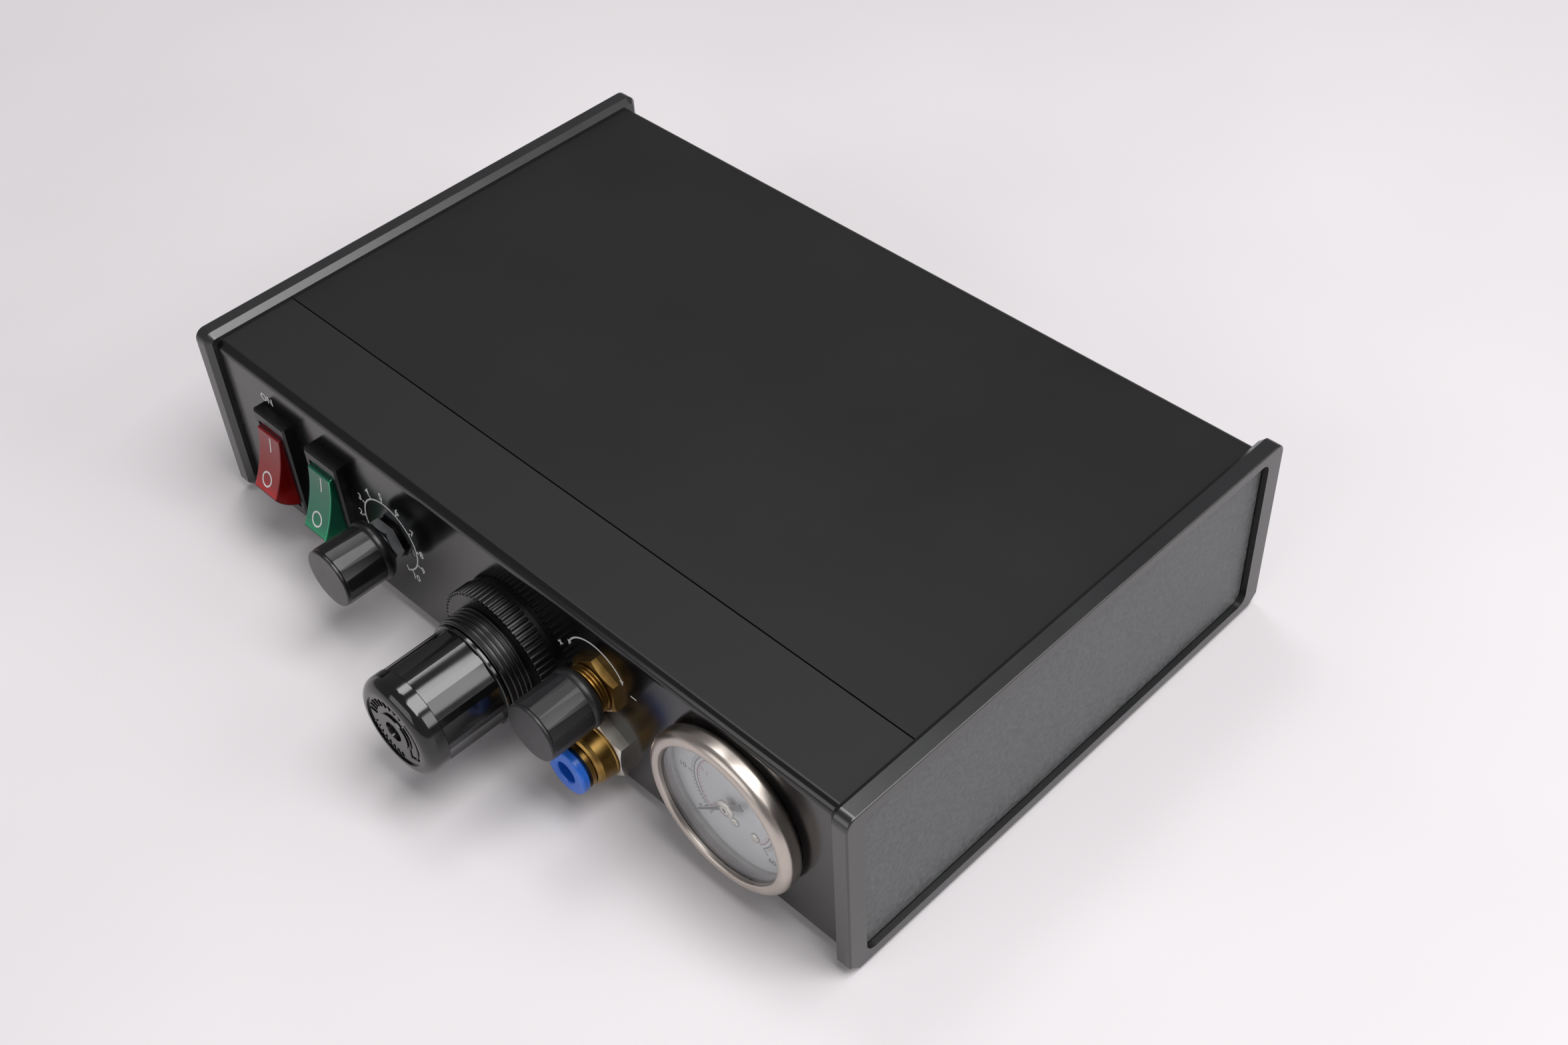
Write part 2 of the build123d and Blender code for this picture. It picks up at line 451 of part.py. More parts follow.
def build_timer():
    place = front(TIMER_X, TIMER_Z)
    nut_front = TIMER_WASHER_T + TIMER_NUT_T
    pot = rod(POT_R, -WALL - POT_DEPTH, -WALL) + rod(BUSHING_R, -WALL, nut_front + 0.8)
    pot += Pos(LUG_OFFSET, 0, -WALL - 1.0) * Box(LUG_W + 3.0, LUG_H, 1.0)
    pot += Pos(LUG_OFFSET, 0, -WALL / 2 - 0.4) * Box(LUG_W, LUG_H, WALL + 0.6)
    pot += [Pos(x, -POT_R - 0.5, -WALL - 3.0) * Box(1.2, 7.0, 0.6) for x in (-5, 0, 5)]
    shaft_end = TIMER_KNOB_GAP + 10.0
    parts["time_pot_body"] = place * (pot - rod(TIMER_SHAFT_R + RUN, -WALL - 6.0, 10))
    washer = rod(BUSHING_R + TIMER_WASHER_RIM, 0, TIMER_WASHER_T) - rod(BUSHING_R + FIT, 0, TIMER_WASHER_T)
    parts["time_pot_washer"] = place * washer
    across = 2 * (BUSHING_R + TIMER_NUT_RIM)
    parts["time_pot_nut"] = place * hex_nut(across, TIMER_WASHER_T, nut_front, BUSHING_R + RUN)
    parts["time_pot_shaft"] = place * rod(TIMER_SHAFT_R, -WALL - 5.5, shaft_end)
    knob = fluted_knob(TIMER_KNOB_L, TIMER_KNOB_R, TIMER_SKIRT_R, TIMER_SKIRT_L, TIMER_FLUTES, TIMER_FLUTE_TURN,
                       TIMER_SHAFT_R, 10.2)
    parts["time_knob"] = place * Pos(0, 0, TIMER_KNOB_GAP) * knob


# ---------------------------------------------------------------- air pressure regulator
def panel_ring():
    """Knurled ring nut that clamps the regulator in the panel."""
    step = 2 * pi / RING_RIBS
    points = []
    for i in range(RING_RIBS):
        for share, drop in ((0.0, RIB_DEPTH), (0.28, RIB_DEPTH), (0.4, 0.15), (0.64, 0.0), (0.88, 0.15)):
            angle = (i + share) * step
            points.append(((RING_R - drop) * cos(angle), (RING_R - drop) * sin(angle)))
    ring = extrude(make_face(Polyline(*points, close=True)), RING_T)
    ring &= turned((0, 0), (RING_R + 1, 0), (RING_R + 1, RING_T - 1.2), (RING_R - 0.7, RING_T), (0, RING_T))
    return ring - rod(NECK_R + RUN, 0, RING_T)


def pressure_knob():
    """Knob that is pulled out to unlock: wide shallow flutes between a rim and a large round nose."""
    nose = PRESSURE_KNOB_L - PRESSURE_NOSE_L
    rim_r, rim_t = PRESSURE_RIM_R, PRESSURE_RIM_T
    knob = turned((0, 0), (rim_r - 0.25, 0), (rim_r, 0.25), (rim_r, rim_t - 0.25), (rim_r - 0.25, rim_t),
                  (PRESSURE_KNOB_R, rim_t), (PRESSURE_KNOB_R, nose), (PRESSURE_NOSE_R, nose + 0.2),
                  (PRESSURE_NOSE_R, PRESSURE_KNOB_L), (0, PRESSURE_KNOB_L))
    rim = [e for e in knob.edges().filter_by(GeomType.CIRCLE) if e.center().Z > PRESSURE_KNOB_L - 0.01]
    knob = fillet(rim, NOSE_ROUND)
    half = asin(GRIP_FLUTE_W / 2 / PRESSURE_KNOB_R)
    knob -= flute_cutters(PRESSURE_KNOB_R, half, GRIP_FLUTE_R, rim_t, nose, GRIP_FLUTES, GRIP_TURN)
    face, rim_in = PRESSURE_KNOB_L, PRESSURE_NOSE_R - NOSE_ROUND - 0.3
    knob -= turned((5.2, face - 0.8), (rim_in - 0.2, face - 0.8), (rim_in, face + 1), (4.9, face + 1))
    knob -= turned((0, face - 0.8), (2.6, face - 0.8), (3.0, face + 1), (0, face + 1))
    cavity_in = SCREW_HEX_AF / sqrt(3) + 2.0
    cavity_out = PRESSURE_KNOB_R - 2.2
    knob -= turned((cavity_in, -1), (cavity_out, -1), (cavity_out, nose), (cavity_in, nose))
    return knob - hex_bar(SCREW_HEX_AF + 2 * RUN, -1, nose + 1)


def build_regulator():
    place = front(REG_X, REG_Z)
    knob_back = NECK_L + PRESSURE_KNOB_GAP
    neck = turned((0, -WALL - REG_FLANGE_T), (REG_FLANGE_R, -WALL - REG_FLANGE_T), (REG_FLANGE_R, -WALL),
                  (NECK_R, -WALL), (NECK_R, NECK_L - 0.3), (NECK_R - 0.3, NECK_L), (0, NECK_L))
    neck -= rod(REG_SCREW_R + RUN, -WALL - REG_FLANGE_T, NECK_L)
    parts["regulator_bonnet"] = place * neck
    parts["regulator_panel_ring"] = place * panel_ring()
    screw = rod(REG_SCREW_R, -WALL - REG_FLANGE_T + 0.5, NECK_L + 0.1)
    screw += hex_bar(SCREW_HEX_AF, NECK_L + 0.1, knob_back + PRESSURE_KNOB_L - PRESSURE_NOSE_L)
    parts["pressure_screw"] = place * screw
    parts["pressure_knob"] = place * Pos(0, 0, knob_back) * pressure_knob()
    rear = -WALL - REG_FLANGE_T
    cube = Pos(0, 0, rear - REG_BLOCK_T / 2) * Box(REG_BLOCK, REG_BLOCK, REG_BLOCK_T)
    cube = fillet(cube.edges().filter_by(Axis.Z), 3.0)
    cap = Pos(0, 0, rear - REG_BLOCK_T) * rod(REG_CAP_R, -REG_CAP_T, 0)
    cap = chamfer(cap.faces().sort_by(Axis.Z)[0].edges(), 1.0)
    reach = REG_BLOCK / 2 + BARB_L
    side_barbs = Pos(0, 0, rear - REG_BLOCK_T / 2) * Rot(0, 90, 0) * rod(BARB_R, -reach, reach)
    rear_barbs = [Pos(REG_PORT, side * REG_PORT_UP, rear - REG_BLOCK_T) * rod(BARB_R, -BARB_L, 0) for side in (1, -1)]
    parts["regulator_body"] = place * (cube + cap + side_barbs + rear_barbs)


# ---------------------------------------------------------------- vacuum valve
def build_vacuum_valve():
    place = front(VAC_X, VAC_Z)
    body = hex_bar(VAC_BODY_AF, -WALL - VAC_BODY_L, -WALL, True) + rod(VAC_THREAD_R, -WALL, VAC_NUT_T + GLAND_T)
    body += [Pos(x, 0, -WALL - VAC_BODY_L) * rod(BARB_R, -BARB_L, 0) for x in (-VAC_PORT, VAC_PORT)]
    parts["vacuum_valve_body"] = place * (body - rod(VAC_STEM_R + RUN, -WALL - 10.0, 10))
    parts["vacuum_panel_nut"] = place * hex_nut(VAC_NUT_AF, 0, VAC_NUT_T, VAC_THREAD_R + RUN, True)
    inner, crest, root = VAC_THREAD_R + RUN, GLAND_R, GLAND_R - 0.5
    profile = [(inner, VAC_NUT_T)]
    for i in range(3):
        z = VAC_NUT_T + i * GLAND_PITCH
        profile += [(root, z), (crest, z + 0.3), (crest, z + 0.6)]
    profile += [(root, VAC_NUT_T + GLAND_T), (inner, VAC_NUT_T + GLAND_T)]
    gland = turned(*profile)
    parts["vacuum_gland_ring"] = place * gland
    parts["vacuum_stem"] = place * rod(VAC_STEM_R, -WALL - 9.0, VAC_KNOB_GAP + 9.0)
    knob = fluted_knob(VAC_KNOB_L, VAC_KNOB_R, VAC_SKIRT_R, VAC_SKIRT_L, VAC_FLUTES, VAC_FLUTE_TURN, VAC_STEM_R, 9.2)
    parts["vacuum_knob"] = place * Pos(0, 0, VAC_KNOB_GAP) * knob


# ---------------------------------------------------------------- push-in fittings
def push_fitting(tube_r, reach):
    """Body, nuts and release collet, pointing along local Z from the wall's outer face."""
    thread = tube_r + FITTING_WALL
    barrel = thread + NUT_RIM - 0.2
    waist = NUT_T + 5.6
    lip = reach - 3.0
    tail = -WALL - FITTING_TAIL
    profile = [(0, tail), (thread - 1.2, tail), (thread - 1.2, -WALL - 5.0), (thread, -WALL - 5.0),
               (thread, NUT_T), (barrel, NUT_T), (barrel, NUT_T + 0.4), (barrel - 0.3, NUT_T + 0.7),
               (barrel - 0.5, waist - 1.4), (barrel - 1.0, waist - 0.5), (thread, waist), (thread - 0.9, waist),
               (thread - 0.9, waist + 0.5),
               (thread + 0.1, waist + 0.5), (thread + 0.1, lip), (0, lip)]
    body = turned(*profile) + rod(BARB_R, tail - BARB_L, tail)
    sleeve = tube_r + 1.4
    body -= rod(sleeve + RUN, reach - 11.0, reach)
    body -= rod(tube_r, reach - 17.0, reach)
    across = 2 * (thread + NUT_RIM)
    lock_nut = hex_nut(across - 1.0, -WALL - 3.0, -WALL, thread + RUN, True)
    nut = hex_nut(across, 0, NUT_T, thread + RUN, True)
    head = thread + 0.3
    collet = turned((tube_r, reach - 10.0), (sleeve, reach - 10.0), (sleeve, reach - 2.1), (head - 0.2, reach - 2.1),
                    (head, reach - 1.9), (head, reach), (tube_r, reach))
    rims = [e for e in collet.edges().filter_by(GeomType.CIRCLE) if e.center().Z > reach - 0.01]
    collet = fillet([e for e in rims if e.radius > sleeve], 0.7)
    collet = chamfer([e for e in collet.edges().filter_by(GeomType.CIRCLE)
                      if e.center().Z > reach - 0.01 and e.radius < sleeve], 0.3)
    return body, nut, lock_nut, collet


def build_fitting(name, place, tube_r, reach):
    body, nut, lock_nut, collet = push_fitting(tube_r, reach)
    parts[name + "_body"] = place * body
    parts[name + "_nuts"] = Compound([place * nut, place * lock_nut])
    parts[name + "_collet"] = place * collet


# ---------------------------------------------------------------- gauge
def gauge_needle():
    """Pointer in local XY with its hub on Z, pointing along +X before it is turned."""
    blade = make_face(Polyline((-NEEDLE_TAIL, -0.9), (-NEEDLE_TAIL, 0.9), (0, 0.55), (NEEDLE_L, 0.1), (NEEDLE_L, -0.1),
                               (0, -0.55), close=True))
    pointer = Pos(0, 0, NEEDLE_LIFT) * extrude(blade, NEEDLE_T)
    hub = rod(1.7, NEEDLE_LIFT, NEEDLE_LIFT + 1.1)
    hub = chamfer(hub.faces().sort_by(Axis.Z)[-1].edges(), 0.3)
    spindle = rod(0.6, DIAL_FRONT - DIAL_T - 4.0, NEEDLE_LIFT)
    return pointer + hub + spindle


def build_gauge():
    place = front(GAUGE_X, GAUGE_Z)
    inner = GAUGE_CAN_R - GAUGE_CAN_WALL
    seat = DIAL_FRONT - DIAL_T
    lens_back = LENS_FRONT - LENS_T
    can = rod(GAUGE_CAN_R, -GAUGE_CAN_DEPTH, lens_back) - rod(inner, -GAUGE_CAN_DEPTH + GAUGE_CAN_WALL, lens_back)
    can += rod(inner + 0.1, seat - 1.0, seat) - rod(inner - 1.4, seat - 1.0, seat)
    can -= rod(STEM_AF / 2 - 1.0, -GAUGE_CAN_DEPTH, -GAUGE_CAN_DEPTH + GAUGE_CAN_WALL)
    parts["gauge_case"] = place * can
    lip = 0.8
    bezel = turned((GAUGE_CAN_R + RUN, 0), (GAUGE_BEZEL_R, 0), (GAUGE_BEZEL_R, GAUGE_BEZEL_T - 1.4),
                   (GAUGE_BEZEL_R - 0.5, GAUGE_BEZEL_T - 0.4), (GAUGE_BEZEL_R - 1.3, GAUGE_BEZEL_T),
                   (GAUGE_WINDOW_R + 0.9, GAUGE_BEZEL_T - 0.3), (GAUGE_WINDOW_R, LENS_FRONT + lip - 0.4),
                   (GAUGE_WINDOW_R, LENS_FRONT), (GAUGE_CAN_R + RUN, LENS_FRONT))
    parts["gauge_bezel"] = place * bezel
    parts["gauge_lens"] = place * rod(GAUGE_CAN_R - FIT, lens_back, LENS_FRONT)
    dial = rod(inner - FIT, seat, DIAL_FRONT) - rod(0.7, seat - 1, DIAL_FRONT + 1)
    angle = radians(NEEDLE_ANGLE + 6)
    dial += Pos(STOP_PIN_AT * cos(angle), STOP_PIN_AT * sin(angle), 0) * rod(0.35, DIAL_FRONT, NEEDLE_LIFT + 0.8)
    parts["gauge_dial"] = place * dial
    head = fillet(rod(1.3, 0, 0.7).faces().sort_by(Axis.Z)[-1].edges(), 0.4)
    parts["gauge_dial_screws"] = Compound([place * Pos(x, y, DIAL_FRONT) * head for x, y in DIAL_SCREWS])
    parts["gauge_needle"] = place * Rot(0, 0, NEEDLE_ANGLE) * gauge_needle()
    frame = Pos(0, 0, seat - 5.0) * Box(26, 16, 1.2) + Pos(0, -4, seat - 11.5) * Box(10, 8, 13.0)
    frame += [Pos(x, 6, seat - 2.2) * rod(1.2, -2.2, 2.2) for x in (-10, 10)]
    frame += rod(STEM_AF / 2 - 1.1, -GAUGE_CAN_DEPTH, seat - 17.0)
    frame -= rod(0.7, seat - 6.0, seat)
    stem = Pos(0, 0, -GAUGE_CAN_DEPTH - STEM_L / 2) * Box(STEM_AF, STEM_AF, STEM_L)
    stem = chamfer(stem.edges().filter_by(Axis.Z), 1.5)
    stem += rod(BARB_R, -GAUGE_CAN_DEPTH - STEM_L - BARB_L, -GAUGE_CAN_DEPTH - STEM_L)
    parts["gauge_movement"] = place * (frame + stem)
    clamp = Pos(0, 0, -GAUGE_CAN_DEPTH - 1.0) * Box(2 * GAUGE_CAN_R + 5, CLAMP_W, 1.5)
    clamp -= Pos(0, 0, -GAUGE_CAN_DEPTH - 1.0) * Box(STEM_AF + 0.4, STEM_AF + 0.4, 3)
    leg = GAUGE_CAN_DEPTH + 0.25 - WALL
    clamp += [Pos(side * (GAUGE_CAN_R + 1.75), 0, -WALL - leg / 2) * Box(1.5, CLAMP_W, leg) for side in (-1, 1)]
    parts["gauge_clamp"] = place * clamp


# ---------------------------------------------------------------- back wall
def build_mains_inlet():
    place = back(MAINS_X, MAINS_Z)
    body = Box(MAINS_FLANGE_W, MAINS_FLANGE_H, MAINS_FLANGE_T, align=(Align.CENTER, Align.CENTER, Align.MIN))
    body = fillet(body.edges().filter_by(Axis.Z), 2.0)
    body += Pos(0, 0, -MAINS_DEPTH / 2) * Box(MAINS_BODY_W, MAINS_BODY_H, MAINS_DEPTH)
    socket = Rectangle(SOCKET_W, SOCKET_H)
    socket = chamfer(socket.vertices().group_by(Axis.Y)[-1], 4.0)
    body -= Pos(0, SOCKET_UP, MAINS_FLANGE_T - SOCKET_DEPTH) * extrude(socket, SOCKET_DEPTH + 1)
    drawer_hole = Box(DRAWER_W + 0.2, DRAWER_H + 0.2, DRAWER_L + 0.2, align=(Align.CENTER, Align.CENTER, Align.MAX))
    body -= Pos(0, -DRAWER_DOWN, MAINS_FLANGE_T) * drawer_hole
    parts["mains_inlet"] = place * body
    pin = Box(2.0, 4.0, SOCKET_DEPTH - 2.5, align=(Align.CENTER, Align.CENTER, Align.MIN))
    pin = chamfer(pin.faces().sort_by(Axis.Z)[-1].edges(), 0.5)
    floor = MAINS_FLANGE_T - SOCKET_DEPTH
    spots = ((-7, SOCKET_UP - 2.0), (7, SOCKET_UP - 2.0), (0, SOCKET_UP + 2.0))
    parts["mains_pins"] = Compound([place * Pos(x, y, floor) * pin for x, y in spots])
    drawer = Box(DRAWER_W, DRAWER_H, DRAWER_L - 0.2, align=(Align.CENTER, Align.CENTER, Align.MAX))
    drawer += Pos(0, 0, 0.5) * Box(DRAWER_W, DRAWER_H, 1.0)
    drawer -= Pos(0, DRAWER_H / 2, 1.0) * Box(8.0, 1.6, 1.6)
    drawer -= Pos(0, 1.2, -DRAWER_L / 2 - 0.6) * Box(FUSE_L + 0.2, DRAWER_H, 2 * FUSE_R + 0.6)
    drawer_place = place * Pos(0, -DRAWER_DOWN, MAINS_FLANGE_T)
    parts["fuse_drawer"] = drawer_place * drawer
    fuse = Pos(0, 1.2 - DRAWER_H / 2 + FUSE_R, -DRAWER_L / 2 - 0.6) * Rot(0, 90, 0) * Cylinder(FUSE_R, FUSE_L)
    parts["fuse"] = drawer_place * fuse


def build_back_pieces():
    jack = back(JACK_X, JACK_Z)
    socket = rod(JACK_THREAD_R, -WALL, 4.2) + rod(JACK_THREAD_R + 1.6, -JACK_DEPTH, -WALL)
    parts["foot_switch_jack"] = jack * (socket - rod(JACK_BORE_R, -JACK_DEPTH + 2.0, 5))
    parts["foot_switch_jack_nut"] = jack * hex_nut(JACK_NUT_AF, 0, 2.6, JACK_THREAD_R + RUN)
    silencer = back(SILENCER_X, SILENCER_Z)
    cone = turned((0, -WALL - 6), (SILENCER_R - 1, -WALL - 6), (SILENCER_R - 1, 3.0), (SILENCER_R, 3.0),
                  (SILENCER_R, SILENCER_L - 3.0), (SILENCER_R - 2.5, SILENCER_L), (0, SILENCER_L))
    cone += hex_bar(SILENCER_AF, 0, 3.2)
    cone += rod(BARB_R, -WALL - 6 - BARB_L, -WALL - 6)
    parts["exhaust_silencer"] = silencer * cone
    build_fitting("air_inlet", back(INLET_X, INLET_Z), INLET_TUBE_R, INLET_REACH)


# ---------------------------------------------------------------- inside
TRAFO_X, TRAFO_Y = -76.0, IN_BACK - 62.5
CORE_W, CORE_D, CORE_H, LIMB = 38.0, 16.0, 32.0, 12.0
VALVE_X, VALVE_Y, VALVE_W, VALVE_D, VALVE_H = 56.0, IN_BACK - 64.5, 20.0, 28.0, 22.0
VALVE_PITCH, VALVE_IN_UP, VALVE_OUT_UP = 5.0, 16.0, 6.0
COIL_D = 26.0
EJECTOR_X, EJECTOR_Y, EJECTOR_W, EJECTOR_D, EJECTOR_H, JET_PITCH = 87.0, IN_BACK - 50.5, 18.0, 36.0, 14.0, 4.0
BOARD_X, BOARD_Y = -9.0, IN_BACK - 45.5


def build_transformer():
    centre = Pos(TRAFO_X, TRAFO_Y, PLATE_TOP + CORE_H / 2)
    window = (CORE_W - 2 * LIMB) / 4
    gaps = [Pos(side * (LIMB + window) / 2, 0, 0) * Box(window, CORE_D + 1, CORE_H - LIMB) for side in (-1, 1)]
    parts["transformer_core"] = centre * (Box(CORE_W, CORE_D, CORE_H) - gaps)
    winding = Box(LIMB + 2 * window - 0.4, CORE_D + 12, CORE_H - LIMB - 0.4)
    winding = fillet(winding.edges().filter_by(Axis.Z), 2.0) - Box(LIMB + 0.3, CORE_D + 0.3, CORE_H)
    parts["transformer_winding"] = centre * winding


def build_board():
    top = PLATE_TOP + BOARD_LIFT + BOARD_T
    corners = [(x, y) for x in (-1, 1) for y in (-1, 1)]
    spots = [Pos(BOARD_X + x * (BOARD_W / 2 - 4), BOARD_Y + y * (BOARD_D / 2 - 4), 0) for x, y in corners]
    board = Pos(BOARD_X, BOARD_Y, top - BOARD_T / 2) * Box(BOARD_W, BOARD_D, BOARD_T)
    parts["control_board"] = board - [s * Pos(0, 0, top) * Cylinder(1.6, 10) for s in spots]
    fixing = hex_bar(5.5, PLATE_TOP, top - BOARD_T) + rod(1.5, top - BOARD_T, top) + rod(2.7, top, top + 1.8)
    parts["board_fixings"] = Compound([s * fixing for s in spots])
    base = Pos(BOARD_X, BOARD_Y, top)
    stand = (Align.CENTER, Align.CENTER, Align.MIN)
    relay = [base * Pos(-18, 14, 0) * Box(19, 15.5, 15, align=stand)]
    cans = ((10, 18, 8.0, 20.0), (26, 8, 5.0, 12.0), (26, -6, 5.0, 12.0))
    capacitors = [base * Pos(x, y, 0) * rod(r, 0, h) for x, y, r, h in cans]
    terminals = [base * Pos(x, -26, 0) * Box(15, 8, 10, align=stand) for x in (-19, 0, 19)]
    chips = [base * Pos(x, -8, 0) * Box(width, 7.6, 3.4, align=stand) for x, width in ((-12, 20), (10, 10))]
    parts["board_components"] = Compound(relay + capacitors + terminals + chips)


def build_valves():
    body = Pos(VALVE_X, VALVE_Y, PLATE_TOP + VALVE_H / 2) * Box(VALVE_W, VALVE_D, VALVE_H)
    ports = [(VALVE_X - VALVE_PITCH, PLATE_TOP + VALVE_IN_UP), (VALVE_X + VALVE_PITCH, PLATE_TOP + VALVE_OUT_UP)]
    front_face = VALVE_Y - VALVE_D / 2
    body += [Pos(x, front_face, z) * Rot(90, 0, 0) * rod(BARB_R, 0, BARB_L) for x, z in ports]
    body += Pos(VALVE_X, VALVE_Y, PLATE_TOP + VALVE_H) * rod(BARB_R, 0, BARB_L)
    parts["solenoid_valve"] = body
    coil_y = VALVE_Y + VALVE_D / 2 + COIL_D / 2
    coil = Pos(VALVE_X, coil_y, PLATE_TOP + VALVE_H / 2) * Box(VALVE_W - 2, COIL_D, VALVE_H - 3)
    parts["solenoid_coil"] = fillet(coil.edges().filter_by(Axis.Y), 2.0)
    centre = Pos(EJECTOR_X, EJECTOR_Y, PLATE_TOP + EJECTOR_H / 2)
    end = EJECTOR_D / 2
    ejector = Box(EJECTOR_W, EJECTOR_D, EJECTOR_H)
    ejector += [Pos(x, -end, 0) * Rot(90, 0, 0) * rod(BARB_R, 0, BARB_L) for x in (-JET_PITCH, JET_PITCH)]
    ejector += Pos(0, end, 0) * Rot(-90, 0, 0) * rod(BARB_R, 0, BARB_L)
    parts["vacuum_ejector"] = centre * ejector


def build_hoses():
    """Air tubes, each pushed over a barb at both ends."""
    gap = 0.3
    reg_back = FRONT_Y + WALL + REG_FLANGE_T + REG_BLOCK_T + gap
    reg_mid = FRONT_Y + WALL + REG_FLANGE_T + REG_BLOCK_T / 2
    left, right = REG_X - REG_BLOCK / 2 - gap, REG_X + REG_BLOCK / 2 + gap
    port_x = REG_X + REG_PORT
    inlet_y = BACK_Y - WALL - FITTING_TAIL - gap
    outlet_y = FRONT_Y + WALL + FITTING_TAIL + gap
    vacuum_y = FRONT_Y + WALL + VAC_BODY_L + gap
    valve_y = VALVE_Y - VALVE_D / 2 - gap
    jet_front, jet_back = EJECTOR_Y - EJECTOR_D / 2 - gap, EJECTOR_Y + EJECTOR_D / 2 + gap
    gauge_y = FRONT_Y + GAUGE_CAN_DEPTH + STEM_L + gap
    silencer_y = BACK_Y - WALL - 6.0 - gap
    top_z, jet_z = PLATE_TOP + VALVE_H + gap, PLATE_TOP + EJECTOR_H / 2
    vent_x, draw_x = EJECTOR_X - JET_PITCH, EJECTOR_X + JET_PITCH
    in_x, out_x = VALVE_X - VALVE_PITCH, VALVE_X + VALVE_PITCH
    in_z, out_z = PLATE_TOP + VALVE_IN_UP, PLATE_TOP + VALVE_OUT_UP
    rise = inlet_y - 12.0
    supply = hose([(INLET_X, inlet_y, INLET_Z), (INLET_X, rise, INLET_Z), (INLET_X, rise - 18, 43), (INLET_X, 46, 43),
                   (left - 14, 46, 43), (left - 14, reg_mid, REG_Z), (left, reg_mid, REG_Z)], [8, 8, 14, 14, 9])
    gauge_line = hose([(port_x, reg_back, REG_Z + REG_PORT_UP), (port_x, 48, REG_Z + REG_PORT_UP),
                       (GAUGE_X, 52, GAUGE_Z), (GAUGE_X, gauge_y, GAUGE_Z)], [9, 9])
    valve_line = hose([(port_x, reg_back, REG_Z - REG_PORT_UP), (port_x, 46, REG_Z - REG_PORT_UP),
                       (in_x, 54, in_z), (in_x, valve_y, in_z)], [9, 9])
    outlet_line = hose([(OUTLET_X, outlet_y, OUTLET_Z), (OUTLET_X, 34, OUTLET_Z), (out_x, 50, out_z),
                        (out_x, valve_y, out_z)], [9, 9])
    bleed = hose([(right, reg_mid, REG_Z), (VAC_X - VAC_PORT, reg_mid, REG_Z), (VAC_X - VAC_PORT, 36, REG_Z),
                  (VAC_X - VAC_PORT, 36, VAC_Z), (VAC_X - VAC_PORT, vacuum_y, VAC_Z)], [6, 5.4, 5.4])
    drive = hose([(VAC_X + VAC_PORT, vacuum_y, VAC_Z), (VAC_X + VAC_PORT, 36, VAC_Z), (62, 46, 44), (draw_x, 56, 44),
                  (draw_x, 64, jet_z), (draw_x, jet_front, jet_z)], [9, 9, 7, 6])
    suction = hose([(VALVE_X, VALVE_Y, top_z), (VALVE_X, VALVE_Y, 42), (vent_x, 70, 36), (vent_x, 66, jet_z),
                    (vent_x, jet_front, jet_z)], [6, 6, 6])
    turn = jet_back + 13.7
    exhaust = hose([(EJECTOR_X, jet_back, jet_z), (EJECTOR_X, turn, jet_z), (SILENCER_X, turn, SILENCER_Z),
                    (SILENCER_X, silencer_y, SILENCER_Z)], [6, 6])
    parts["air_tubes"] = Compound([supply, gauge_line, valve_line, outlet_line, bleed, drive, suction, exhaust])


# ---------------------------------------------------------------- build and export
build_case()
build_switch("power", POWER_X)
build_switch("mode", MODE_X)
build_switch_terminals()
build_timer()
build_regulator()
build_vacuum_valve()
build_fitting("outlet", front(OUTLET_X, OUTLET_Z), OUTLET_TUBE_R, OUTLET_REACH)
build_gauge()
build_mains_inlet()
build_back_pieces()
build_transformer()
build_board()
build_valves()
build_hoses()

os.makedirs("parts", exist_ok=True)
for name, piece in parts.items():
    export_step(Pos(0, SHIFT_Y, 0) * piece, "parts/" + name + ".step")
print(len(parts), "nodes; case frame is moved by", SHIFT_Y, "along Y")
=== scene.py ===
# %% [markdown]
# # A bench dispensing controller, finished in Blender
# The object is a low metal case with two rocker switches, a timer knob, a pressure regulator, a vacuum
# valve over an air outlet, and a round gauge. Its solid parts come ready made, as a fixed frame. This
# lesson gives each part the finish of the real thing and adds what is too fine for the solids: printed
# marks, a screw thread, a ring nut's ribs, the gauge's rim and scales. Everything is in metres, in the
# frame's own axes: X along the front, Y to the back, Z up.

# %% Load the frame
import json
from math import cos, pi, radians, sin

import bmesh
import bpy
from mathutils import Matrix, Quaternion, Vector


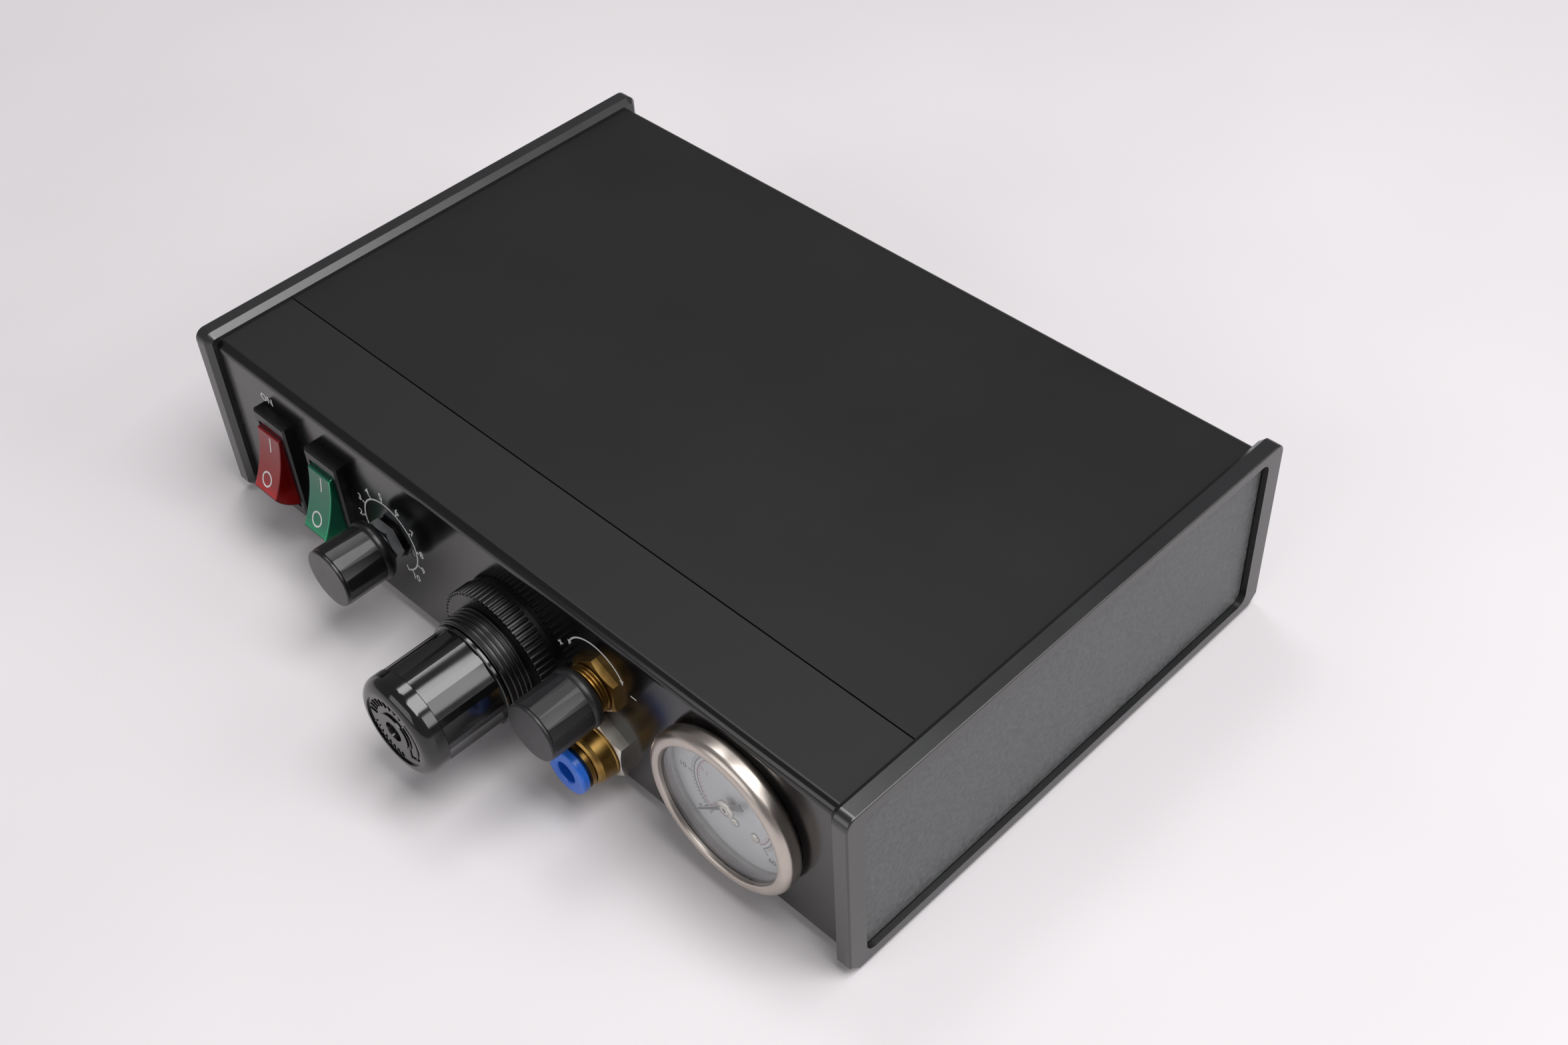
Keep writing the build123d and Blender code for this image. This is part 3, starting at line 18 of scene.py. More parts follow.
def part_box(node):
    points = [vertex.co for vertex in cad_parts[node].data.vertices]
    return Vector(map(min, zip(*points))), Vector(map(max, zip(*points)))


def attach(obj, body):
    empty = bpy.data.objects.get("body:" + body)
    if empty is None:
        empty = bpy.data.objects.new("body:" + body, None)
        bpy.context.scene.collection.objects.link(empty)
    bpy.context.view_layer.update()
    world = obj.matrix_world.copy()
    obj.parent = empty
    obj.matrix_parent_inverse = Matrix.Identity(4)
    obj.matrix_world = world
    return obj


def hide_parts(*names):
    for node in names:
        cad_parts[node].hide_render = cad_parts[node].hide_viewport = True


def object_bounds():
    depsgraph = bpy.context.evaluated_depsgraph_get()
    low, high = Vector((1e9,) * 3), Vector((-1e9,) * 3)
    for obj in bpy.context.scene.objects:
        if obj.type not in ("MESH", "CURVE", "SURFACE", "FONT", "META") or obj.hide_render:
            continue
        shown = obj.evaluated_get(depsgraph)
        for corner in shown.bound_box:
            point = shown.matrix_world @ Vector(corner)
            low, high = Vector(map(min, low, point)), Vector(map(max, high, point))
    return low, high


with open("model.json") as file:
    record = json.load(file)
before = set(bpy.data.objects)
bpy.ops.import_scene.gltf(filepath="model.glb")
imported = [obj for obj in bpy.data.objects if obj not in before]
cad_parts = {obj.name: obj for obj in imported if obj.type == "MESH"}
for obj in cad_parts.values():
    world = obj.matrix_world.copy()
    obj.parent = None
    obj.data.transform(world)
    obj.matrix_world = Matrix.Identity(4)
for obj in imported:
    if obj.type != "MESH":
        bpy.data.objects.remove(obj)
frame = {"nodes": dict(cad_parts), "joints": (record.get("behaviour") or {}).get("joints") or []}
cad_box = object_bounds()
scene = bpy.context.scene
parts = frame["nodes"]

# %% [markdown]
# ## The axes that things turn on
# A knob's marks and its thread have to sit on the knob's own axis. The record holds each joint's position,
# so every centre below is read from there, and every face from the box of the part that carries it.

# %% Units, axes and faces
MM = 0.001
pivot = {joint["name"]: Vector(joint["pos_m"]) for joint in frame["joints"] if "pos_m" in joint}
timer_axis, pressure_axis, gauge_axis = pivot["timer_turn"], pivot["pressure_turn"], pivot["pointer_turn"]
panel_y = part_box("front_panel")[0].y
DIAL_SCREW_HEAD = 0.7 * MM
dial_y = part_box("gauge_dial_screws")[0].y + DIAL_SCREW_HEAD
print("panel face at", round(panel_y / MM, 2), "mm, dial face at", round(dial_y / MM, 2), "mm")

# %% [markdown]
# ## The camera
# The view looks down on the case's right front corner. It is described by a point to aim at, two angles, a
# distance and a small roll, because each of these can be changed by itself, which no number in a matrix
# can.

# %% Camera
AIM = Vector((28.43, 6.50, 30.0)) * MM
AZIMUTH, ELEVATION, ROLL = radians(-46.79), radians(44.82), radians(-3.33)
DISTANCE = 486.7 * MM
LENS, SENSOR = 44.49, 36.0  # in millimetres, as on a camera
NEAREST, FARTHEST = 0.01, 20.0

forward = Vector((sin(AZIMUTH) * cos(ELEVATION), cos(AZIMUTH) * cos(ELEVATION), -sin(ELEVATION)))
camera = bpy.data.objects.new("camera", bpy.data.cameras.new("camera"))
camera.data.lens, camera.data.sensor_width = LENS, SENSOR
camera.data.clip_start, camera.data.clip_end = NEAREST, FARTHEST
camera.rotation_mode = "QUATERNION"
camera.rotation_quaternion = forward.to_track_quat("-Z", "Y") @ Quaternion((0, 0, 1), ROLL)
camera.location = AIM - DISTANCE * forward
scene.collection.objects.link(camera)
scene.camera = camera
print("camera at", [round(c, 4) for c in camera.location])

# %% [markdown]
# ## One small function for nodes
# A node tree is a set of nodes, their settings and the links between them. This function adds one node and
# does all three at once. It serves shaders and Geometry Nodes alike.

# %% Node and colour helpers
def node(tree, kind, inputs=None, **settings):
    """Adds a node. An input is given a value, another node's socket to link to, or a list of sockets."""
    made = tree.nodes.new(kind)
    for name, value in settings.items():
        setattr(made, name, value)
    for socket, value in (inputs or {}).items():
        sources = value if isinstance(value, list) else [value]
        if isinstance(sources[0], bpy.types.NodeSocket):
            for source in sources:
                tree.links.new(source, made.inputs[socket])
        else:
            made.inputs[socket].default_value = value
    return made


def linear(hex_colour):
    """sRGB hex to the linear numbers that shaders use, by the formula of the sRGB standard."""
    shares = [int(hex_colour[i:i + 2], 16) / 255 for i in (1, 3, 5)]
    return [c / 12.92 if c <= 0.04045 else ((c + 0.055) / 1.055) ** 2.4 for c in shares] + [1.0]


# %% [markdown]
# ## Floor and light
# The object stands on a pale sheet under soft studio light. A large softbox high on the right gives the
# shadows their direction. A small one high on the left draws the bright bands along the knobs. A third, far
# out on the right, lights the side plate, and a wide weak one in front fills what faces the view. A pale
# surround adds the rest.

# %% Floor
def place(name, data):
    """Puts a mesh, curve or lamp into the scene, at the origin."""
    made = bpy.data.objects.new(name, data)
    scene.collection.objects.link(made)
    return made


FLOOR_W, FLOOR_T = 6.0, 0.02
floor = place("floor", bpy.data.meshes.new("floor"))
sheet = bmesh.new()
bmesh.ops.create_cube(sheet, size=1.0)
bmesh.ops.scale(sheet, verts=sheet.verts, vec=(FLOOR_W, FLOOR_W, FLOOR_T))
bmesh.ops.translate(sheet, verts=sheet.verts, vec=(0, 0, cad_box[0].z - FLOOR_T / 2))
sheet.to_mesh(floor.data)
sheet.free()

# %% Lights
SURROUND, SURROUND_LEVEL = "#f2f0f4", 0.25
LIT_POINT = Vector((0, 0, 0.02))  # every softbox points at the middle of the case

scene.view_settings.view_transform = "Standard"
scene.world = bpy.data.worlds.new("studio")
scene.world.use_nodes = True
surround = scene.world.node_tree.nodes["Background"]
surround.inputs["Color"].default_value = linear(SURROUND)
surround.inputs["Strength"].default_value = SURROUND_LEVEL


def softbox(name, at, size, watts):
    """A white rectangular lamp. Its place and size are in metres."""
    light = bpy.data.lights.new(name, "AREA")
    light.shape, light.size, light.size_y = "RECTANGLE", size[0], size[1]
    light.energy = watts
    lamp = place(name, light)
    lamp.location = at
    lamp.rotation_euler = (LIT_POINT - Vector(at)).to_track_quat("-Z", "Y").to_euler()


softbox("softbox_high_right", at=(0.48, 0.10, 1.20), size=(0.75, 0.75), watts=12.3)
softbox("softbox_high_left", at=(-0.44, 0.27, 1.22), size=(0.32, 0.36), watts=2.3)
softbox("softbox_far_right", at=(1.10, 0.55, 0.70), size=(0.7, 0.6), watts=5.0)
softbox("softbox_front", at=(-0.10, -1.20, 0.60), size=(1.2, 0.8), watts=4.6)

# %% [markdown]
# ## A finish from its real sizes
# Most finishes here share one build: a colour that drifts slightly in soft patches, a gloss that drifts
# with it, and a fine grain that stands a few thousandths of a millimetre high. Only the numbers differ, and
# each is a real size. The grain of a blasted, plated or moulded skin is really finer than a tenth of a
# millimetre, too fine to show from here, so it is drawn coarser, at a few tenths.

# %% The shared finish
NOISE_LOW, NOISE_HIGH = 0.3, 0.7  # most of a noise lies between these


def finish(name, dark, light, patch, rough, grain, height, **constants):
    """Colours from dark to light and roughness from first to last drift together, in patches of that size.
    The grain has a size and a height. Sizes are in mm. Constants go straight on the shader."""
    material = bpy.data.materials.new(name)
    material.use_nodes = True
    tree = material.node_tree
    tree.nodes.clear()
    where = node(tree, "ShaderNodeTexCoord").outputs["Object"]
    patches = node(tree, "ShaderNodeTexNoise", {"Vector": where, "Scale": 1 / (patch * MM), "Detail": 3.0})
    drift = node(tree, "ShaderNodeMapRange", {
        "Value": patches.outputs["Fac"], "From Min": NOISE_LOW, "From Max": NOISE_HIGH})
    tint = node(tree, "ShaderNodeMix", {
        "Factor": drift.outputs[0], 6: linear(dark), 7: linear(light)}, data_type="RGBA")
    gloss = node(tree, "ShaderNodeMapRange", {
        "Value": drift.outputs[0], "To Min": rough[0], "To Max": rough[1]})
    grains = node(tree, "ShaderNodeTexNoise", {"Vector": where, "Scale": 1 / (grain * MM), "Detail": 2.0})
    relief = node(tree, "ShaderNodeBump", {"Height": grains.outputs["Fac"], "Distance": height * MM})
    shader = node(tree, "ShaderNodeBsdfPrincipled", {
        "Base Color": tint.outputs[2], "Roughness": gloss.outputs[0], "Normal": relief.outputs[0]})
    for socket, value in constants.items():
        shader.inputs[socket.replace("_", " ")].default_value = value
    node(tree, "ShaderNodeOutputMaterial", {"Surface": shader.outputs[0]})
    return material


finished = set()


def wear(material, *names):
    """Puts a finish on ready-made parts."""
    for name in names:
        parts[name].data.materials.clear()
        parts[name].data.materials.append(material)
        finished.add(name)


# %% [markdown]
# ## Case finishes
# The cover is an aluminium extrusion, the end frames and the plates let into them are ABS mouldings, and
# the case stands on rubber feet. All four are black or grey, so the eye tells them apart by how their
# surfaces were made.

# %% Anodised cover, moulded frames, textured plates, feet
# Blasted, then dyed in an anodising bath: an even satin black that blurs every reflection.
anodised_black = finish(
    "anodised_aluminium_black", "#111112", "#151516", 45, (0.46, 0.52), 0.35, 0.004, IOR=1.43)
wear(anodised_black, "main_cover")
# From a polished mould: a smooth skin, black from above and grey from the side, where it mirrors the table.
moulded_black = finish("abs_moulding_black", "#151617", "#1b1c1d", 25, (0.24, 0.30), 0.6, 0.003, IOR=1.74)
wear(moulded_black, "left_end_frame", "right_end_frame")
# From a spark-eroded mould: a pebbled stipple that breaks the light into fine specks.
stippled_grey = finish("abs_spark_eroded_grey", "#3e3f40", "#5e5f60", 1.1, (0.40, 0.54), 0.7, 0.09, IOR=1.53)
wear(stippled_grey, "left_side_panel", "right_side_panel")
# Moulded rubber: dull and dark, with no highlight.
foot_rubber = finish("rubber_moulded_black", "#141414", "#1b1b1b", 4, (0.75, 0.85), 0.3, 0.01, IOR=1.52)
wear(foot_rubber, "rubber_feet")

# %% [markdown]
# ## Front panel
# The front panel is one more extrusion, whose top and bottom edges bend back into flat strips. Its face has
# a coat of clear lacquer that mirrors the table and runs on over both bends, while the strips stay satin,
# like the cover. One material can do both: the part's own Y coordinate says how far behind the face a point
# lies, and that picks its roughness and its tint.

# %% Lacquered face, satin strips
LACQUER_END, SATIN_START = panel_y + 1.9 * MM, panel_y + 2.5 * MM
SATIN_ROUGH, SATIN_TINT = 0.62, "#050506"

# Anodised under clear lacquer: a deep black with a calm mirror image in it.
lacquered_black = finish(
    "anodised_aluminium_lacquered", "#070708", "#0a0a0b", 60, (0.15, 0.18), 2.5, 0.002, IOR=1.55)
tree = lacquered_black.node_tree
shader = tree.nodes["Principled BSDF"]
where = node(tree, "ShaderNodeTexCoord").outputs["Object"]
depth = node(tree, "ShaderNodeSeparateXYZ", {0: where}).outputs["Y"]
strip = node(tree, "ShaderNodeMapRange", {"Value": depth, "From Min": LACQUER_END, "From Max": SATIN_START})
face_gloss = shader.inputs["Roughness"].links[0].from_socket
face_tint = shader.inputs["Base Color"].links[0].from_socket
rough = node(tree, "ShaderNodeMix", {"Factor": strip.outputs[0], 2: face_gloss, 3: SATIN_ROUGH})
tint = node(tree, "ShaderNodeMix", {
    "Factor": strip.outputs[0], 6: face_tint, 7: linear(SATIN_TINT)}, data_type="RGBA")
tree.links.new(rough.outputs[0], shader.inputs["Roughness"])
tree.links.new(tint.outputs[2], shader.inputs["Base Color"])
wear(lacquered_black, "front_panel")

# %% [markdown]
# ## Plastics of the controls
# What the hand turns is moulded in phenolic or nylon, and the collets that let an air tube go are acetal.
# Three of the four blacks differ only in how much they shine, which tells the knobs apart.

# %% Control plastics
# Phenolic from a polished mould: nearly black, with narrow sharp highlights.
glossy_black = finish("phenolic_gloss_black", "#09090a", "#0d0d0e", 12, (0.10, 0.15), 0.8, 0.002, IOR=1.6)
wear(glossy_black, "pressure_knob")
# Glossy nylon, rubbed by fingers: its highlights have spread into soft streaks.
worn_gloss_black = finish("nylon_gloss_black", "#0c0b0b", "#131212", 6, (0.30, 0.36), 0.4, 0.005, IOR=1.5)
wear(worn_gloss_black, "time_knob")
# Nylon from a finely blasted mould: charcoal, with highlights that fade out gently.
satin_charcoal = finish("nylon_satin_charcoal", "#131315", "#19191b", 8, (0.34, 0.42), 0.4, 0.006, IOR=1.48)
wear(satin_charcoal, "vacuum_knob")
# Nylon from a plain mould: black, with a soft sheen along each edge.
satin_black = finish("nylon_satin_black", "#0a0a0b", "#0f0f10", 10, (0.28, 0.36), 0.5, 0.005, IOR=1.46)
wear(satin_black, "regulator_bonnet", "power_switch_body", "mode_switch_body", "mains_inlet", "fuse_drawer",
     "foot_switch_jack", "solenoid_coil", "board_components")
# Moulded acetal, dyed in the mass: a strong even blue with a waxy gloss.
release_blue = finish("acetal_blue", "#1f5fc4", "#2769d0", 5, (0.22, 0.30), 0.5, 0.004, IOR=1.48)
wear(release_blue, "outlet_collet", "air_inlet_collet")

# %% [markdown]
# ## Rockers
# A rocker is a thick clear acrylic moulding, dyed in the mass. Light enters its dished face and leaves at
# its foot, so the real foot glows and the rest is deep. Here that glow is a painted glow, and the shade is
# painted too: the sides are painted darker than the face, and the round end wall under the foot darker
# still. A thin painted dark line of shade crosses the head where the face bends over. Real depth of colour
# would need a long light calculation. Painted glow and painted shade, laid along the rocker's own length by
# its coordinates, give the same look.

# %% Dyed acrylic with a painted glow at the foot and painted shade
ROCKER_TILT, ROCKER_W, ROCKER_REACH = radians(18.0), 9.6 * MM, 12.52 * MM
# the painted glow at the foot and the painted shade at the head lie within this span
SHADED = 10.0  # shades run this many mm to each side of the pivot
# the sides get a painted shade: their colour is multiplied by this grey
SIDE_PAINTED_SHADE, SIDE_FROM, SIDE_TO = "#b4b4b4", ROCKER_W / 2 - 0.15 * MM, ROCKER_W / 2 - 0.05 * MM
WALL_FROM, WALL_TO = ROCKER_REACH - 0.4 * MM, ROCKER_REACH - 0.15 * MM  # the end wall's reach from the pivot
FOOT_FROM, FOOT_TO = -6 * MM, -7 * MM
length_way = (0.0, sin(ROCKER_TILT), cos(ROCKER_TILT))


def rocker_finish(name, turn_point, dye_and_painted_light_stops, wall_painted_shade):
    """dye_and_painted_light_stops: (mm above the pivot along the rocker, colour), foot to head, with painted
    glow and shade.
    """
    body_shade = dye_and_painted_light_stops[1][1]
    material = finish(name, body_shade, body_shade, 6, (0.10, 0.16), 0.35, 0.004, IOR=1.49,
                      Specular_IOR_Level=0.38, Transmission_Weight=0.3)
    tree = material.node_tree
    shader = tree.nodes["Principled BSDF"]
    where = node(tree, "ShaderNodeTexCoord").outputs["Object"]
    from_pivot = node(tree, "ShaderNodeVectorMath", {
        0: where, 1: turn_point}, operation="SUBTRACT").outputs[0]
    # the dye, with a painted glow at the foot and painted shade at the head, by the place along the rocker
    along = node(tree, "ShaderNodeVectorMath", {
        0: from_pivot, 1: length_way}, operation="DOT_PRODUCT").outputs["Value"]
    share = node(tree, "ShaderNodeMapRange", {
        "Value": along, "From Min": -SHADED * MM, "From Max": SHADED * MM})
    dye_and_painted_light = node(tree, "ShaderNodeValToRGB", {"Fac": share.outputs[0]})
    stops = dye_and_painted_light.color_ramp.elements
    while len(stops) < len(dye_and_painted_light_stops):
        stops.new(0.5)
    for stop, (height, colour) in zip(stops, dye_and_painted_light_stops):
        stop.position, stop.color = (height + SHADED) / (2 * SHADED), linear(colour)
    # painted shade on the sides, darker than the face
    across = node(tree, "ShaderNodeSeparateXYZ", {0: from_pivot}).outputs["X"]
    aside = node(tree, "ShaderNodeMath", {0: across}, operation="ABSOLUTE")
    side = node(tree, "ShaderNodeMapRange", {
        "Value": aside.outputs[0], "From Min": SIDE_FROM, "From Max": SIDE_TO})
    side_painted_shade = node(tree, "ShaderNodeMix", {
        "Factor": 1.0, 6: dye_and_painted_light.outputs[0], 7: linear(SIDE_PAINTED_SHADE)}, data_type="RGBA", blend_type="MULTIPLY")
    body = node(tree, "ShaderNodeMix", {
        "Factor": side.outputs[0], 6: dye_and_painted_light.outputs[0], 7: side_painted_shade.outputs[2]}, data_type="RGBA")
    # painted shade on the round end wall under the foot: at full reach from the pivot, and low enough
    profile = node(tree, "ShaderNodeVectorMath", {0: from_pivot, 1: (0.0, 1.0, 1.0)}, operation="MULTIPLY")
    reach = node(tree, "ShaderNodeVectorMath", {0: profile.outputs[0]}, operation="LENGTH").outputs["Value"]
    at_wall = node(tree, "ShaderNodeMapRange", {"Value": reach, "From Min": WALL_FROM, "From Max": WALL_TO})
    at_foot = node(tree, "ShaderNodeMapRange", {"Value": along, "From Min": FOOT_FROM, "From Max": FOOT_TO})
    wall = node(tree, "ShaderNodeMath", {0: at_wall.outputs[0], 1: at_foot.outputs[0]}, operation="MULTIPLY")
    whole = node(tree, "ShaderNodeMix", {
        "Factor": wall.outputs[0], 6: body.outputs[2], 7: linear(wall_painted_shade)}, data_type="RGBA")
    tree.links.new(whole.outputs[2], shader.inputs["Base Color"])
    return material


# Dyed acrylic, polished mould: deep red or green, a painted glow at the foot, painted shade at sides and
# head.
red_dye_and_painted_light = rocker_finish("acrylic_red", pivot["power_rocker_tilt"], [
    (-9.4, "#c81218"), (-7.6, "#b81116"), (-5.5, "#980e13"), (0.0, "#960e13"), (9.1, "#8c0c12"),
    (9.6, "#24020a"), (SHADED, "#8c0c12")], "#2c0308")
wear(red_dye_and_painted_light, "power_rocker")
green_dye_and_painted_light = rocker_finish("acrylic_green", pivot["mode_rocker_tilt"], [
    (-9.4, "#0aa26c"), (-7.6, "#098f62"), (-5.5, "#07785a"), (0.0, "#067658"), (9.1, "#066a4e"),
    (9.6, "#021c14"), (SHADED, "#066a4e")], "#022618")
wear(green_dye_and_painted_light, "mode_rocker")
# The same acrylic with a painted glint: a pale bright green, where small edges would let its light out.
painted_glint_green = finish("acrylic_green_painted_glint", "#2cc08a", "#3ad49c", 2, (0.10, 0.16), 0.3, 0.003, IOR=1.49)

# %% [markdown]
# ## Metals
# Nuts and the gauge's rim are nickel plated, fittings are turned brass, steel inside is zinc plated, and
# the valve blocks are plain alloy. A metal's colour is its reflection, so these differ in tint and in how
# far they blur it.

# %% Metals
# Nickel plate on turned and milled parts: pale, slightly warm, with fairly sharp reflections.
bright_nickel = finish(
    "nickel_plate_bright", "#d4cfc5", "#dcd7ce", 4, (0.22, 0.27), 0.25, 0.002, Metallic=1.0)
wear(bright_nickel, "outlet_nuts", "air_inlet_nuts", "mains_pins", "foot_switch_jack_nut",
     "gauge_dial_screws")
# Nickel plate on pressed sheet steel: greyer, with a broad even glow.
satin_nickel = finish("nickel_plate_satin", "#b8afa7", "#c4bbb3", 9, (0.28, 0.34), 0.2, 0.001, Metallic=1.0)
# Zinc plate with a blue passivation: a cold milky shine.
blue_zinc = finish("zinc_plate_blue", "#b4babc", "#c6cacb", 3, (0.36, 0.44), 0.25, 0.003, Metallic=1.0)
wear(blue_zinc, "time_pot_nut")
# Steel blackened in oil: dark, with a dim sheen.
blackened_steel = finish("steel_blackened", "#1b1b1c", "#2a2a2b", 2, (0.35, 0.45), 0.3, 0.004, Metallic=1.0)
wear(blackened_steel, "time_pot_washer")
# Zinc plate with a clear passivation: a neutral grey, half bright.
zinc_plate = finish("zinc_plate", "#a9a9a6", "#bcbcb8", 3, (0.26, 0.36), 0.25, 0.004, Metallic=1.0)
wear(zinc_plate, "end_frame_screws", "time_pot_body", "pressure_screw", "vacuum_stem", "gauge_case",
     "gauge_clamp", "transformer_core")
# Brass as it leaves the lathe, a little dulled by air: a muted, brownish gold.
turned_brass = finish("brass_turned", "#8c6c38", "#a5854c", 3, (0.30, 0.38), 0.2, 0.004, Metallic=1.0)
wear(turned_brass, "vacuum_valve_body", "vacuum_panel_nut", "vacuum_gland_ring", "outlet_body",
     "air_inlet_body", "gauge_movement", "board_fixings", "switch_terminals")
# Aluminium, milled and left plain: a soft light grey.
plain_alloy = finish("aluminium_plain", "#a4a5a6", "#b5b6b7", 6, (0.32, 0.42), 0.3, 0.006, Metallic=1.0)
wear(plain_alloy, "chassis_plate", "time_pot_shaft", "regulator_body", "solenoid_valve", "vacuum_ejector")
# Bronze grains sintered to a porous cup: it glitters brown and gold, grain by grain.
sintered_bronze = finish(
    "bronze_sintered", "#6e4a20", "#b58a4c", 0.35, (0.40, 0.60), 0.35, 0.08, Metallic=1.0)
wear(sintered_bronze, "exhaust_silencer")

# %% [markdown]
# ## Gauge, board and tubes
# The dial is sprayed silver grey under a clear window. A clear window must let lamps through, or the dial
# would lie in its shadow, so shadow rays pass it freely.

# %% Gauge paint, window, board, winding, tubes, fuse
# Sprayed lacquer: a calm silver grey without a mirror image.
dial_silver = finish("lacquer_silver_grey", "#b4b4b8", "#bcbcc0", 10, (0.45, 0.55), 0.2, 0.003, IOR=1.5)
wear(dial_silver, "gauge_dial")
# Matt lacquer: a black that stays dark from every side.
needle_black = finish("lacquer_black_matt", "#2c2c2e", "#363638", 2, (0.40, 0.50), 0.2, 0.003, IOR=1.5)
wear(needle_black, "gauge_needle")
# Solder mask, printed and cured: deep green with a half gloss.
solder_mask = finish("solder_mask_green", "#0b3a20", "#10502c", 9, (0.25, 0.35), 0.5, 0.01, IOR=1.55)
wear(solder_mask, "control_board")
# Polyester tape, wound tight: amber, glossy, slightly rippled.
winding_tape = finish("polyester_tape_amber", "#8a5a10", "#a87420", 4, (0.20, 0.35), 0.8, 0.02, IOR=1.6)
wear(winding_tape, "transformer_winding")
# Extruded polyurethane: mid blue with a soft gloss.
tube_blue = finish("polyurethane_blue", "#1d4f9a", "#2a62b4", 8, (0.25, 0.35), 0.6, 0.005, IOR=1.5)
wear(tube_blue, "air_tubes")
# Cast acrylic: clear, so all that shows of it is a sharp reflection.
clear_window = finish("acrylic_clear", "#f4f6f6", "#fafcfc", 20, (0.02, 0.03), 5.0, 0.001, IOR=1.49,
                      Transmission_Weight=1.0)
wear(clear_window, "gauge_lens", "fuse")
tree = clear_window.node_tree
glass = tree.nodes["Principled BSDF"].outputs[0]
mix = node(tree, "ShaderNodeMixShader", {
    0: node(tree, "ShaderNodeLightPath").outputs["Is Shadow Ray"],
    1: glass, 2: node(tree, "ShaderNodeBsdfTransparent").outputs[0]})
tree.links.new(mix.outputs[0], tree.nodes["Material Output"].inputs["Surface"])
print("parts that finer pieces take the place of, below:", sorted(set(parts) - finished))

# %% [markdown]
# ## The floor's finish
# The floor is a sheet of pale paper. Its felted fibres make it dull and faintly cloudy, so shadows on it
# stay soft and nothing mirrors in it.

# %% Paper
pale_paper = finish("paper_pale", "#dcd8da", "#e2dee0", 180, (0.75, 0.85), 1.2, 0.01, IOR=1.45)
floor.data.materials.append(pale_paper)

# %% [markdown]
# ## Running a rule once
# What repeats or follows a path is made with Geometry Nodes. The tree is a rule with named sizes. Running
# it once and keeping the plain mesh means that nothing is left to compute later.

# %% Keep the result of a rule
def new_rule(name, sizes, objects=()):
    """A node group with one number per named size, one input per named object, and its input node."""
    tree = bpy.data.node_groups.new(name, "GeometryNodeTree")
    for size in sizes:
        kind = "NodeSocketInt" if size == "Count" else "NodeSocketFloat"
        tree.interface.new_socket(size, in_out="INPUT", socket_type=kind)
    for each in objects:
        tree.interface.new_socket(each, in_out="INPUT", socket_type="NodeSocketObject")
    tree.interface.new_socket("Geometry", in_out="OUTPUT", socket_type="NodeSocketGeometry")
    return tree, node(tree, "NodeGroupInput").outputs


def end_rule(tree, made, material, lies=True):
    """Every rule ends the same way: what lies flat is stood up, made real geometry, and given its finish."""
    if lies:
        made = node(tree, "GeometryNodeTransform", {"Geometry": made.outputs[0], "Rotation": (pi / 2, 0, 0)})
    real = node(tree, "GeometryNodeRealizeInstances", {0: made.outputs[0]})
    coated = node(tree, "GeometryNodeSetMaterial", {"Geometry": real.outputs[0], "Material": material})
    node(tree, "NodeGroupOutput", {0: coated.outputs[0]})
    return tree


def tidy_mesh(mesh):
    """Merges doubles and turns every face outwards."""
    shape = bmesh.new()
    shape.from_mesh(mesh)
    bmesh.ops.remove_doubles(shape, verts=shape.verts, dist=1e-7)
    bmesh.ops.recalc_face_normals(shape, faces=shape.faces)
    shape.to_mesh(mesh)
    shape.free()


def settle(made, body):
    """Gives a finished piece the body that it rides on, and prints its count of faces."""
    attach(made, body)
    print(made.name, len(made.data.polygons), "faces")
    return made


def grow(tree, name, sizes, body="case", centre=Vector()):
    """Runs the rule with these sizes and keeps a plain mesh in its place."""
    made = place(name, bpy.data.meshes.new(name))
    rule = made.modifiers.new("rule", "NODES")
    rule.node_group = tree
    for item in tree.interface.items_tree:
        if item.in_out == "INPUT" and item.name in sizes:
            rule[item.identifier] = sizes[item.name]
    graph = bpy.context.evaluated_depsgraph_get()
    mesh = bpy.data.meshes.new_from_object(made.evaluated_get(graph), depsgraph=graph)
    made.modifiers.clear()
    made.data = mesh
    mesh.transform(Matrix.Translation(centre))
    tidy_mesh(mesh)
    return settle(made, body)


# %% [markdown]
# ## Inks
# Marks are screen printed: a few hundredths of a millimetre of ink that dries matt, so a mark reads as one
# flat tone from every side. White lets a little of the black under it through, so it is a very pale grey.
# The ink is made a little thicker here, so that it can't flicker against the face below.

# %% Ink finishes
INK_T = 0.05 * MM
INK_SUNK = 0.1 * INK_T  # so much of a bar of ink lies inside the face
white_ink, black_ink, red_ink = (
    finish("screen_ink_" + tone, dark, light, 3, (0.45, 0.55), 0.15, 0.002, IOR=1.5)
    for tone, dark, light in (
        ("white", "#cececc", "#d8d8d6"), ("black", "#222223", "#2a2a2b"), ("red", "#9c1b14", "#ac231a")))
print("inks", white_ink.name, black_ink.name, red_ink.name)

# %% [markdown]
# ## A rule for scales
# The timer's scale and the gauge's scales are all the same thing: bars at even steps along an arc, with or
# without a thin band that joins them. An arc gives the places, each bar is turned to point away from the
# centre, and a narrow strip swept along the arc gives the band.

# %% Scale rule
BAND_POINTS = 120


